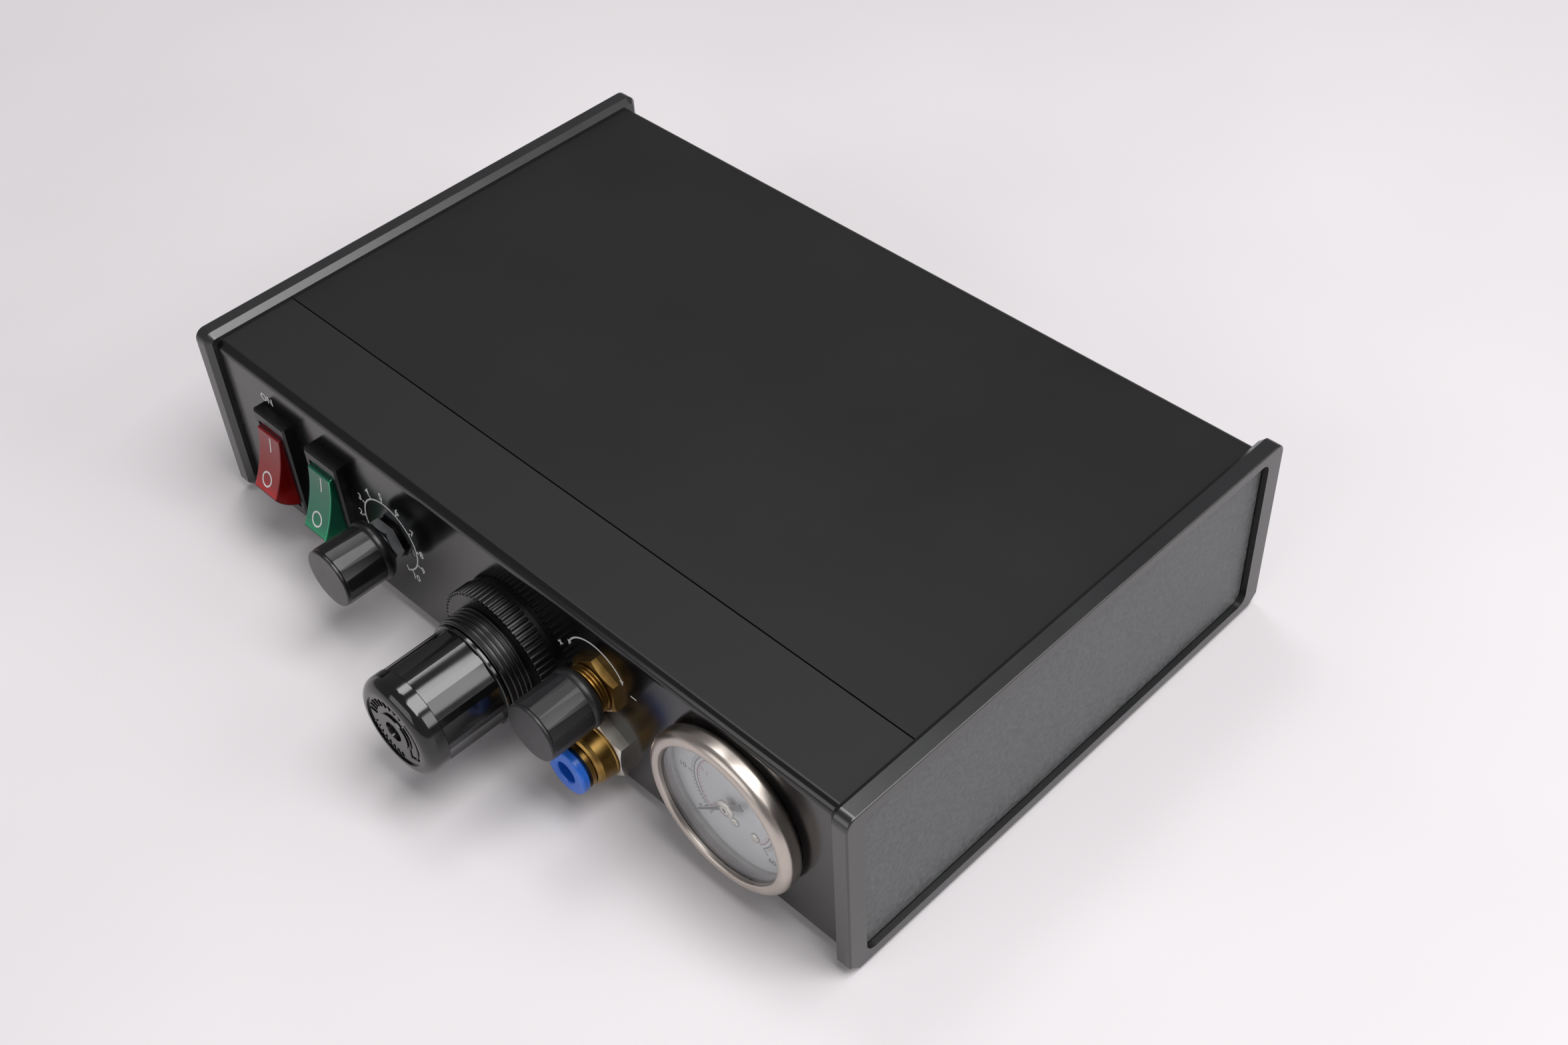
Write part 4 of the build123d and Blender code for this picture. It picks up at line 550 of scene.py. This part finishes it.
def scale_rule(name, ink):
    tree, size = new_rule(name, ["Radius", "Start", "Sweep", "Count", "Tick", "Width", "Band", "Thickness"])
    path = node(tree, "GeometryNodeCurveArc", {
        "Resolution": BAND_POINTS, "Radius": size["Radius"], "Start Angle": size["Start"],
        "Sweep Angle": size["Sweep"]})
    spots = node(tree, "GeometryNodeResampleCurve", {"Curve": path.outputs[0], "Count": size["Count"]})
    outward = node(tree, "FunctionNodeAlignRotationToVector", {
        "Vector": node(tree, "GeometryNodeInputPosition").outputs[0]}, axis="X")
    bar_size = node(tree, "ShaderNodeCombineXYZ", {0: size["Tick"], 1: size["Width"], 2: size["Thickness"]})
    bar = node(tree, "GeometryNodeMeshCube", {"Size": bar_size.outputs[0]})
    half = node(tree, "ShaderNodeMath", {0: size["Tick"], 1: 0.5}, operation="MULTIPLY")
    shift = node(tree, "ShaderNodeCombineXYZ", {0: half.outputs[0]})
    bar_out = node(tree, "GeometryNodeTransform", {
        "Geometry": bar.outputs[0], "Translation": shift.outputs[0]})
    bars = node(tree, "GeometryNodeInstanceOnPoints", {
        "Points": spots.outputs[0], "Instance": bar_out.outputs[0], "Rotation": outward.outputs[0]})
    section = node(tree, "GeometryNodeCurvePrimitiveQuadrilateral", {
        "Width": size["Band"], "Height": size["Thickness"]})
    band = node(tree, "GeometryNodeCurveToMesh", {
        "Curve": path.outputs[0], "Profile Curve": section.outputs[0], "Fill Caps": True})
    both = node(tree, "GeometryNodeJoinGeometry", {0: [bars.outputs[0], band.outputs[0]]})
    return end_rule(tree, both, ink)


scale_in_white = scale_rule("scale_in_white", white_ink)
scale_in_black = scale_rule("scale_in_black", black_ink)
scale_in_red = scale_rule("scale_in_red", red_ink)


def scale(tree, name, centre, radius, start, sweep, count, tick, width, band):
    """A scale on a face. A tick points outwards, or inwards if it is negative, and is as wide as width says.
    Angles are in degrees anticlockwise from 3 o'clock, sizes in mm."""
    sizes = {"Radius": radius * MM, "Start": radians(start), "Sweep": radians(sweep), "Count": count,
             "Tick": tick * MM, "Width": width * MM, "Band": band * MM, "Thickness": INK_T}
    return grow(tree, name, sizes, centre=centre)


# %% [markdown]
# ## Lettering
# Numbers and the few plain words are text objects, made into meshes with a little thickness and moved to
# their place. Text lies flat when it is made, so a quarter turn about X stands it up against the panel. Ink
# spreads a little under the screen, so each stroke is a few hundredths of a millimetre bolder than drawn.

# %% Lettering helper
INK_SPREAD = 0.03 * MM
FIGURE = 0.73  # a figure's height, as a share of the font's size


def lettering(name, words, ink, body="case"):
    """words: (text, x, z, height in mm, y of the face it stands on), joined to one piece."""
    shape = bmesh.new()
    for text, x, z, height, y in words:
        letters = bpy.data.curves.new(name, "FONT")
        letters.body, letters.align_x, letters.align_y = text, "CENTER", "CENTER"
        letters.size, letters.extrude, letters.offset = height * MM / FIGURE, INK_T / 2, INK_SPREAD
        holder = place(name, letters)
        flat = bpy.data.meshes.new_from_object(holder)
        bpy.data.objects.remove(holder)
        flat.transform(Matrix.Translation((x * MM, y, z * MM)) @ Matrix.Rotation(pi / 2, 4, "X"))
        shape.from_mesh(flat)
    mesh = bpy.data.meshes.new(name)
    shape.to_mesh(mesh)
    shape.free()
    tidy_mesh(mesh)
    mesh.materials.append(ink)
    return settle(place(name, mesh), body)


# %% [markdown]
# ## Strokes pressed onto a surface
# The marks on the rockers lie on a curved face, and those on the knob's end on a sunk one. A print pad or a
# mould puts them there whatever the shape. This rule does the same: it draws a flat ribbon along each
# stroke, as wide as the stroke says, sends every point of it along Y until it meets the part, and gives the
# result its thickness.

# %% Stroke rule
AHEAD = 1.0  # metres in front of the part, where each ribbon starts


def stroke_rule(name, material):
    tree, size = new_rule(name, ["Step", "Thickness"], ["Strokes", "Target"])
    drawn = node(tree, "GeometryNodeObjectInfo", {"Object": size["Strokes"]})
    fine = node(tree, "GeometryNodeResampleCurve", {
        "Curve": drawn.outputs["Geometry"], "Length": size["Step"]}, mode="LENGTH")
    level = node(tree, "GeometryNodeSetCurveNormal", {"Curve": fine.outputs[0]}, mode="Z_UP")
    section = node(tree, "GeometryNodeCurvePrimitiveLine", {"Start": (-0.5, 0, 0), "End": (0.5, 0, 0)})
    ribbon = node(tree, "GeometryNodeCurveToMesh", {
        "Curve": level.outputs[0], "Profile Curve": section.outputs[0],
        "Scale": node(tree, "GeometryNodeInputRadius").outputs[0]})
    upright = node(tree, "GeometryNodeTransform", {
        "Geometry": ribbon.outputs[0], "Translation": (0, -AHEAD, 0), "Rotation": (pi / 2, 0, 0)})
    part = node(tree, "GeometryNodeObjectInfo", {"Object": size["Target"]})
    meet = node(tree, "GeometryNodeRaycast", {
        "Target Geometry": part.outputs["Geometry"], "Ray Direction": (0, 1, 0), "Ray Length": 2 * AHEAD})
    pressed = node(tree, "GeometryNodeSetPosition", {
        "Geometry": upright.outputs[0], "Position": meet.outputs["Hit Position"]})
    out = node(tree, "ShaderNodeVectorMath", {0: (0, -1, 0), "Scale": size["Thickness"]}, operation="SCALE")
    raised = node(tree, "GeometryNodeExtrudeMesh", {
        "Mesh": pressed.outputs[0], "Offset": out.outputs[0], "Offset Scale": 1.0, "Individual": False})
    under = node(tree, "GeometryNodeFlipFaces", {"Mesh": pressed.outputs[0]})
    both = node(tree, "GeometryNodeJoinGeometry", {0: [raised.outputs[0], under.outputs[0]]})
    whole = node(tree, "GeometryNodeMergeByDistance", {"Geometry": both.outputs[0], "Distance": 1e-6})
    return end_rule(tree, whole, material, lies=False)


strokes_in_white = stroke_rule("strokes_in_white", white_ink)
strokes_in_plastic = stroke_rule("strokes_in_plastic", glossy_black)
strokes_in_green = stroke_rule("strokes_in_green", painted_glint_green)

# %% [markdown]
# ## Drawing the strokes
# A stroke is a list of points, each with its place on the face and the width there, all in millimetres.
# Straight lines, arcs and points about a centre are enough for every sign on this object.

# %% Lines, arcs and the stamp
def line(a, b, width, end_width=None):
    """A straight stroke from a to b, as (x, z) in mm. It may taper to another width."""
    last = width if end_width is None else end_width
    return [(a[0], a[1], width), (b[0], b[1], last)]


def arc(centre, radius, start, end, width, steps=40):
    """A bent stroke about a centre. Angles in degrees anticlockwise from 3 o'clock."""
    angles = [radians(start + (end - start) * i / steps) for i in range(steps + 1)]
    return [(centre[0] + radius * cos(a), centre[1] + radius * sin(a), width) for a in angles]


def polar(centre, radius, angle):
    """The point at that distance and angle from a centre."""
    return centre[0] + radius * cos(radians(angle)), centre[1] + radius * sin(radians(angle))


def stamp(tree, name, lines, target, body="case", thickness=INK_T, step=0.25):
    """Presses the strokes onto the target part or piece, with a point every step of the way, in mm."""
    curve = bpy.data.curves.new(name + "_strokes", "CURVE")
    curve.dimensions = "3D"
    for points in lines:
        spline = curve.splines.new("POLY")
        spline.points.add(len(points) - 1)
        for point, (x, z, width) in zip(spline.points, points):
            point.co, point.radius = (x * MM, z * MM, 0, 1), width * MM
    drawing = place(name + "_strokes", curve)
    made = grow(tree, name, {"Step": step * MM, "Thickness": thickness, "Strokes": drawing,
                             "Target": bpy.data.objects[target]}, body)
    bpy.data.objects.remove(drawing)
    return made


# %% [markdown]
# ## Timer scale
# Round the timer knob runs an open ring with ten short ticks outside it, numbered from 1 to 10, with the
# gap at the bottom. It is printed on the panel, so it stays still while the knob turns. The screen sat a
# little off the knob's axis when it was printed, as it does on most such panels.

# %% Timer scale and numbers
def round_numbers(values, centre, radius, start, sweep, height, y):
    """Words for numbers at even steps along an arc, in degrees and mm, on the face at y."""
    words = []
    for step, value in enumerate(values):
        x, z = polar(centre, radius, start + sweep * step / (len(values) - 1))
        words.append((str(value), x, z, height, y))
    return words


OFF_X, OFF_Z = -0.3, 0.6
timer_print = (timer_axis.x / MM + OFF_X, timer_axis.z / MM + OFF_Z)
timer_face = Vector((timer_print[0] * MM, panel_y - INK_T / 2 + INK_SUNK, timer_print[1] * MM))
TIMER_RING, TIMER_FROM, TIMER_SWEEP, TIMER_LINE = 10.5, 210.5, -264.0, 0.45
TIMER_VALUES, NUMBER_RING, NUMBER_HEIGHT = range(1, 11), 12.8, 2.3
scale(scale_in_white, "timer_scale", timer_face, TIMER_RING, TIMER_FROM, TIMER_SWEEP,
      count=len(TIMER_VALUES), tick=1.2, width=0.4, band=TIMER_LINE)
numbers = round_numbers(
    TIMER_VALUES, timer_print, NUMBER_RING, TIMER_FROM, TIMER_SWEEP, NUMBER_HEIGHT, panel_y)
lettering("timer_numbers", numbers, white_ink)
# the ring runs on past the last tick and ends in a small hook inwards
ring_end = TIMER_FROM + TIMER_SWEEP
tail_end, hook_end = ring_end - 11, ring_end - 8
tail = arc(timer_print, TIMER_RING, ring_end, tail_end, TIMER_LINE, 8)
hook = line(polar(timer_print, TIMER_RING + 0.2, tail_end), polar(timer_print, TIMER_RING - 1.5, hook_end),
            TIMER_LINE)
stamp(strokes_in_white, "timer_scale_tail", [tail, hook], "front_panel")

# %% [markdown]
# ## Other prints on the panel
# Over the power switch stands the word ON. Over the vacuum knob bends an arrow with two heads between a
# plus and a minus, which says that a turn either way changes the flow.

# %% Word over the switch, arrow over the vacuum knob
ON_X, ON_Z, ON_HEIGHT = -91.5, 46.1, 2.5
lettering("power_mark", [("ON", ON_X, ON_Z, ON_HEIGHT, panel_y)], white_ink)
TURN, TURN_R, TURN_FROM, TURN_TO, TURN_LINE = (36.6, 37.5), 10.05, 153.0, 26.0, 0.45
HEAD, TIP = 1.3, 0.05  # an arrow's head tapers between these widths
vacuum_marks = [arc(TURN, TURN_R, TURN_FROM, TURN_TO, TURN_LINE)]
for end, way in ((TURN_FROM, 1), (TURN_TO, -1)):
    neck, point = polar(TURN, TURN_R, end - 2 * way), polar(TURN, TURN_R - 0.3, end + 7 * way)
    vacuum_marks.append(line(neck, point, HEAD, TIP))
SIGN_Z, SIGN_LINE = 39.0, 0.35
PLUS_X, PLUS_ARM, MINUS_FROM, MINUS_TO = 24.0, 0.9, 48.2, 50.1
vacuum_marks += [
    line((PLUS_X - PLUS_ARM, SIGN_Z), (PLUS_X + PLUS_ARM, SIGN_Z), SIGN_LINE),
    line((PLUS_X, SIGN_Z - PLUS_ARM), (PLUS_X, SIGN_Z + PLUS_ARM), SIGN_LINE),
    line((MINUS_FROM, SIGN_Z), (MINUS_TO, SIGN_Z), SIGN_LINE)]
stamp(strokes_in_white, "vacuum_marks", vacuum_marks, "front_panel")

# %% [markdown]
# ## Signs on the rockers
# Each rocker carries a bar for on and a ring for off, printed on its dished face. They move with the rocker.

# %% Bar and ring on each rocker
BAR_X, BAR_TOP, BAR_FOOT = 0.6, 38.4, 34.1
RING_X, RING_Z, RING_R, ROCKER_LINE = -0.3, 25.8, 1.85, 0.42
for switch in ("power", "mode"):
    x = pivot[switch + "_rocker_tilt"].x / MM
    signs = [line((x + BAR_X, BAR_TOP), (x + BAR_X, BAR_FOOT), ROCKER_LINE),
             arc((x + RING_X, RING_Z), RING_R, 0, 360, ROCKER_LINE)]
    stamp(strokes_in_white, switch + "_rocker_signs", signs, switch + "_rocker",
          switch + "_rocker_body", step=0.2)

# %% [markdown]
# ## Serrated edge on the green rocker
# Along the right edge of the green rocker's face runs a row of very fine serrations, left by the mould.
# Light that travels inside the dyed plastic leaves at each of them, so they show as bright points. Here
# those points are a painted glint, the pale bright green of the dashes themselves. They are short raised
# dashes, pressed onto the face just inside its edge.

# %% Row of fine serrations
EDGE_IN, FIRST_DASH, DASHES = 0.3, 19.2, 40
DASH, DASH_STEP, DASH_W, DASH_H = 0.26, 0.52, 0.24, 0.12 * MM
edge_x = pivot["mode_rocker_tilt"].x / MM + 0.5 * ROCKER_W / MM - EDGE_IN
dash_z = [FIRST_DASH + DASH_STEP * i for i in range(DASHES)]
dashes = [line((edge_x, z), (edge_x, z + DASH), DASH_W) for z in dash_z]
stamp(strokes_in_green, "mode_rocker_serrations", dashes, "mode_rocker", "mode_rocker_body",
      DASH_H, step=0.3)

# %% [markdown]
# ## Turned rings
# A knob's end plate, a gauge's rim and its spacer are all turned shapes: one section carried once round an
# axis. The section is a short list of corners, and a corner that is rounded is a short arc of points.

# %% Turned ring helper
def bend(radius, y, bend_r, start, end, steps=8):
    """Points of a rounded corner about (radius, y), in metres. Angles in degrees from outwards."""
    angles = [radians(start + (end - start) * i / steps) for i in range(steps + 1)]
    return [(radius + bend_r * cos(a), y + bend_r * sin(a)) for a in angles]


SHARP = radians(35)  # corners steeper than this stay sharp


def turned_ring(name, section, centre, material, body="case", steps=96):
    """Turns a closed section, given as (radius, y) in metres, once round the Y axis through the centre."""
    shape = bmesh.new()
    loop = [shape.verts.new((radius, y, 0)) for radius, y in section]
    edges = [shape.edges.new((loop[i - 1], loop[i])) for i in range(len(loop))]
    bmesh.ops.spin(
        shape, geom=loop + edges, axis=(0, 1, 0), cent=(0, 0, 0), angle=2 * pi, steps=steps, use_merge=True)
    mesh = bpy.data.meshes.new(name)
    shape.to_mesh(mesh)
    shape.free()
    mesh.transform(Matrix.Translation((centre.x, 0, centre.z)))
    tidy_mesh(mesh)
    mesh.materials.append(material)
    mesh.shade_smooth()
    mesh.set_sharp_from_angle(angle=SHARP)
    return settle(place(name, mesh), body)


# %% [markdown]
# ## Marks on the pressure knob's end
# The sunk ring in the knob's end is moulded with raised marks: a fan of ticks that grow longer round one
# side, for more pressure, short even ticks below, and the outline of a bent arrow on the other side. They
# are the knob's own plastic, so they stand up as thin walls, here on a plate that lines the sunk ring.

# %% Raised ticks and arrow
knob_end = (pressure_axis.x / MM, pressure_axis.z / MM)
knob_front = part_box("pressure_knob")[0].y
BOSS_R, RECESS_R, RECESS, PLATE, PLATE_SUNK = 5.1 * MM, 9.9 * MM, 0.8 * MM, 0.4 * MM, 0.1 * MM
plate_front, plate_back = knob_front + RECESS - PLATE, knob_front + RECESS + PLATE_SUNK
turned_ring("pressure_knob_plate", [
    (BOSS_R, plate_back), (BOSS_R, plate_front), (RECESS_R, plate_front), (RECESS_R, plate_back)],
    pressure_axis, glossy_black, "pressure_grip")
WALL_T, WALL_H = 0.4, 0.22 * MM
walls = []
for count, first, turn, lean, outer, length, growth in (
        (9, 66, 13, 5, 9.0, 1.1, 0.18), (8, -160, 11, 4, 8.8, 1.2, 0.0)):
    for i in range(count):
        angle, inner = first + turn * i, outer - length - growth * i
        walls.append(line(polar(knob_end, inner, angle - lean), polar(knob_end, outer, angle), WALL_T))
# the arrow: two arcs from its tail to its neck, the tail's end, and a head with a point between two barbs
INNER_ARC, OUTER_ARC, TAIL, INNER_NECK, OUTER_NECK = 6.0, 8.5, 48, -18, -30
walls.append(arc(knob_end, OUTER_ARC, TAIL, OUTER_NECK, WALL_T))
walls.append(arc(knob_end, INNER_ARC, TAIL, INNER_NECK, WALL_T))
walls.append(line(polar(knob_end, INNER_ARC, TAIL), polar(knob_end, OUTER_ARC, TAIL), WALL_T))
head = [(INNER_ARC, INNER_NECK), (5.5, -24), (7.4, -48), (9.1, -30), (OUTER_ARC, OUTER_NECK)]
walls.append([(*polar(knob_end, radius, angle), WALL_T) for radius, angle in head])
stamp(strokes_in_plastic, "pressure_knob_marks", walls, "pressure_knob_plate",
      "pressure_grip", WALL_H, step=0.3)

# %% [markdown]
# ## Thread on the regulator's neck
# The ring nut runs on a thread cut round the neck, and a short stretch of it shows between the ring and the
# knob. A thread is one ridge wound round a cylinder, so the rule sweeps the ridge's section along a helix.
# The ridge starts inside the ring nut and runs out just short of the knob, which turns clear of it.

# %% Thread rule
TURN_POINTS = 72


def thread_rule(name, material):
    tree, size = new_rule(name, ["Turns", "Radius", "Length", "Foot", "Crest", "Height", "Depth"])
    helix = node(tree, "GeometryNodeCurveSpiral", {
        "Resolution": TURN_POINTS, "Rotations": size["Turns"], "Start Radius": size["Radius"],
        "End Radius": size["Radius"], "Height": size["Length"]})
    level = node(tree, "GeometryNodeSetCurveNormal", {"Curve": helix.outputs[0]}, mode="Z_UP")

    def corner(height, width, sign):
        half = node(tree, "ShaderNodeMath", {0: size[width], 1: sign * 0.5}, operation="MULTIPLY")
        up = node(tree, "ShaderNodeMath", {0: size[height], 1: -1.0}, operation="MULTIPLY")
        return node(tree, "ShaderNodeCombineXYZ", {0: up.outputs[0], 1: half.outputs[0]}).outputs[0]

    section = node(tree, "GeometryNodeCurvePrimitiveQuadrilateral", {
        "Point 1": corner("Depth", "Foot", 1), "Point 2": corner("Height", "Crest", 1),
        "Point 3": corner("Height", "Crest", -1), "Point 4": corner("Depth", "Foot", -1)}, mode="POINTS")
    ridge = node(tree, "GeometryNodeCurveToMesh", {
        "Curve": level.outputs[0], "Profile Curve": section.outputs[0], "Fill Caps": True})
    return end_rule(tree, ridge, material)


NECK_R, PITCH = 14.2 * MM, 1.35 * MM
RIDGE_FOOT, RIDGE_CREST, RIDGE_H, RIDGE_ROOT = 1.1 * MM, 0.275 * MM, 0.45 * MM, -0.3 * MM
INSIDE_RING, OFF_KNOB = 0.6 * MM, 0.9 * MM
ring_low, ring_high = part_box("regulator_panel_ring")
thread_from, thread_to = ring_low.y + INSIDE_RING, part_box("pressure_knob")[1].y + OFF_KNOB
thread_length = thread_from - thread_to
grow(thread_rule("neck_thread", satin_black), "regulator_thread", {
    "Turns": thread_length / PITCH, "Radius": NECK_R, "Length": thread_length, "Foot": RIDGE_FOOT,
    "Crest": RIDGE_CREST, "Height": RIDGE_H, "Depth": RIDGE_ROOT},
    centre=Vector((pressure_axis.x, thread_from, pressure_axis.z)))
print("thread from", round(thread_from / MM, 2), "to", round(thread_to / MM, 2), "mm")

# %% [markdown]
# ## The regulator's ring nut
# The ring nut is moulded nylon with round ribs for the fingers. Each rib is a short bar: chamfered where
# the mould parts at the front, rounded where it runs out just before the panel. A rib like that is the
# tight skin, or convex hull, round a small cone and a ball, and the rule sets one at even steps round a
# turned ring.

# %% Rib rule and ring nut
SIDES, BALL_RINGS = 14, 8


def rib_rule(name, material):
    tree, size = new_rule(name, ["Count", "Radius", "Half Width", "Back", "Front", "Chamfer"])
    ball_at = node(tree, "ShaderNodeMath", {0: size["Back"], 1: size["Half Width"]}, operation="ADD")
    cone_at = node(tree, "ShaderNodeMath", {0: size["Front"], 1: size["Chamfer"]}, operation="SUBTRACT")
    tip = node(tree, "ShaderNodeMath", {0: size["Half Width"], 1: size["Chamfer"]}, operation="SUBTRACT")
    ball = node(tree, "GeometryNodeMeshUVSphere", {
        "Segments": SIDES, "Rings": BALL_RINGS, "Radius": size["Half Width"]})
    cone = node(tree, "GeometryNodeMeshCone", {
        "Vertices": SIDES, "Radius Top": tip.outputs[0], "Radius Bottom": size["Half Width"],
        "Depth": size["Chamfer"]})
    ends = []
    for shape, height in ((ball, ball_at), (cone, cone_at)):
        up = node(tree, "ShaderNodeCombineXYZ", {2: height.outputs[0]})
        moved = node(tree, "GeometryNodeTransform", {
            "Geometry": shape.outputs[0], "Translation": up.outputs[0]})
        ends.append(moved.outputs[0])
    both = node(tree, "GeometryNodeJoinGeometry", {0: ends})
    rib = node(tree, "GeometryNodeConvexHull", {0: both.outputs[0]})
    spots = node(tree, "GeometryNodeMeshCircle", {"Vertices": size["Count"], "Radius": size["Radius"]})
    outward = node(tree, "FunctionNodeAlignRotationToVector", {
        "Vector": node(tree, "GeometryNodeInputPosition").outputs[0]}, axis="X")
    ribs = node(tree, "GeometryNodeInstanceOnPoints", {
        "Points": spots.outputs[0], "Instance": rib.outputs[0], "Rotation": outward.outputs[0]})
    return end_rule(tree, ribs, material)


RIBS, RIB_HALF, RIB_H, RIB_BACK, RIB_CHAMFER = 70, 0.58 * MM, 0.5 * MM, 1.0 * MM, 0.1 * MM
NUT_PLAY, SHARP_RIB = 0.05 * MM, radians(40)
ring_r, bore_r = (ring_high.z - ring_low.z) / 2, NECK_R + NUT_PLAY
groove_r = ring_r - RIB_H
ring_nut = turned_ring("regulator_ring", [
    (bore_r, ring_high.y), (groove_r, ring_high.y), (groove_r, ring_low.y), (bore_r, ring_low.y)],
    pressure_axis, satin_black, steps=2 * RIBS)
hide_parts("regulator_panel_ring")
ribs = grow(rib_rule("ribs_round_a_ring", satin_black), "regulator_ring_ribs", {
    "Count": RIBS, "Radius": ring_r - RIB_HALF, "Half Width": RIB_HALF, "Back": RIB_BACK,
    "Front": ring_high.y - ring_low.y, "Chamfer": RIB_CHAMFER},
    centre=Vector((pressure_axis.x, ring_high.y, pressure_axis.z)))
ribs.data.shade_smooth()
ribs.data.set_sharp_from_angle(angle=SHARP_RIB)

# %% [markdown]
# ## Gauge scale
# The dial has two scales on one centre: black outside and red inside, for two units, with plain numbers.
# They turn through three quarters of a circle, from lower left to lower right, as the needle does.

# %% Gauge scales and numbers
dial_centre = (gauge_axis.x / MM, gauge_axis.z / MM)
dial_face = Vector((gauge_axis.x, dial_y - INK_T / 2 + INK_SUNK, gauge_axis.z))
GAUGE_FROM, GAUGE_SWEEP = 225.0, -270.0
BLACK_R, RED_R, BLACK_NUMBERS_R, RED_NUMBERS_R = 12.4, 11.4, 16.1, 8.7
for tree, name, slot, radius, count, tick, width, band in (
        (scale_in_black, "gauge_scale_fine", "print_black", BLACK_R, 61, 1.1, 0.14, 0.22),
        (scale_in_black, "gauge_scale_main", "print_black", BLACK_R, 7, 2.0, 0.28, 0.22),
        (scale_in_red, "gauge_scale_red", "print_red", RED_R, 41, -0.9, 0.14, 0.18),
        (scale_in_red, "gauge_scale_red_main", "print_red", RED_R, 5, -1.6, 0.26, 0.18)):
    scale(tree, name, dial_face, radius, GAUGE_FROM, GAUGE_SWEEP, count, tick, width, band)
for name, slot, ink, values, radius, height in (
        ("gauge_numbers", "print_black", black_ink, range(0, 61, 10), BLACK_NUMBERS_R, 1.7),
        ("gauge_numbers_red", "print_red", red_ink, range(5), RED_NUMBERS_R, 1.3)):
    numbers = round_numbers(values, dial_centre, radius, GAUGE_FROM, GAUGE_SWEEP, height, dial_y)
    lettering(name, numbers, ink)

# %% [markdown]
# ## The gauge's rim
# The rim is pressed from thin nickel-plated steel and rolled over the can: a flat front, a large soft bend
# round the outside, and an edge that tucks in behind. That soft bend catches one long bright glow. The
# ready-made rim has plain corners, so a turned one with the real bends stands in for it.

# %% Rolled rim
RIM_R, WINDOW_R, CAN_R = 22.1 * MM, 18.65 * MM, 20.1 * MM
FRONT_BEND, BACK_BEND, INNER_BEND = 2.2 * MM, 1.6 * MM, 0.6 * MM
PROUD, BACK_BEND_AT, TUCK, INNER_STEP = 0.3 * MM, 3.9 * MM, 1.3 * MM, 0.1 * MM
PANEL_GAP, WINDOW_GAP = 0.1 * MM, 0.02 * MM
rim_front, rim_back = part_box("gauge_bezel")[0].y - PROUD, panel_y - PANEL_GAP
on_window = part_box("gauge_lens")[0].y - WINDOW_GAP
rim = [(CAN_R, rim_back), (RIM_R - TUCK, rim_back)]
rim += bend(RIM_R - BACK_BEND, rim_front + BACK_BEND_AT, BACK_BEND, 55, 0, 6)
rim += bend(RIM_R - FRONT_BEND, rim_front + FRONT_BEND, FRONT_BEND, 0, -90, 12)
rim += bend(WINDOW_R + INNER_BEND, rim_front + INNER_BEND + INNER_STEP, INNER_BEND, -90, -180, 6)
rim += [(WINDOW_R, on_window), (CAN_R, on_window)]
gauge_rim = turned_ring("gauge_rim", rim, gauge_axis, satin_nickel, steps=144)
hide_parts("gauge_bezel")

# %% [markdown]
# ## Spacer and needle cap
# A grey ring holds the window off the dial and hides the side of the can. The needle's hub carries a dished
# cap of bright metal, which turns with it.

# %% Spacer ring and needle cap
# Moulded polystyrene: a mid grey with a satin skin.
spacer_grey = finish("polystyrene_grey", "#6c686c", "#777377", 6, (0.35, 0.45), 0.3, 0.003, IOR=1.59)
CAN_INSIDE, SPACER_BACK_R, SPACER_FRONT_R = 19.15 * MM, 18.5 * MM, 18.35 * MM
LENS_PLAY, OFF_DIAL = 0.05 * MM, 1.6 * MM
front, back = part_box("gauge_lens")[1].y + LENS_PLAY, dial_y - OFF_DIAL
turned_ring("gauge_spacer", [
    (CAN_INSIDE, front), (CAN_INSIDE, back), (SPACER_BACK_R, back), (SPACER_FRONT_R, front)],
    gauge_axis, spacer_grey)
CAP_R, CAP_BEND, CAP_EDGE, CAP_T = 2.5, 0.25, 0.2, 0.9
CAP = ((0.6, CAP_T), (0.6, -0.02), (1.0, -0.1), (1.5, 0.05), (2.1, CAP_EDGE))  # (radius, depth) in mm
hub_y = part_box("gauge_needle")[0].y
cap = [(radius * MM, hub_y + depth * MM) for radius, depth in CAP]
cap += bend((CAP_R - CAP_BEND) * MM, hub_y + (CAP_EDGE + CAP_BEND) * MM, CAP_BEND * MM, -90, 0, 4)
cap.append((CAP_R * MM, hub_y + CAP_T * MM))
turned_ring("needle_cap", cap, gauge_axis, bright_nickel, "pointer", 48)

# %% [markdown]
# ## The size of the solids
# The box round the solids is printed, in metres.

# %% Sizes and the end
def plain(box):
    """A box as plain lists of numbers."""
    return [[round(c, 6) for c in corner] for corner in box]


print("solids ", plain(cad_box))
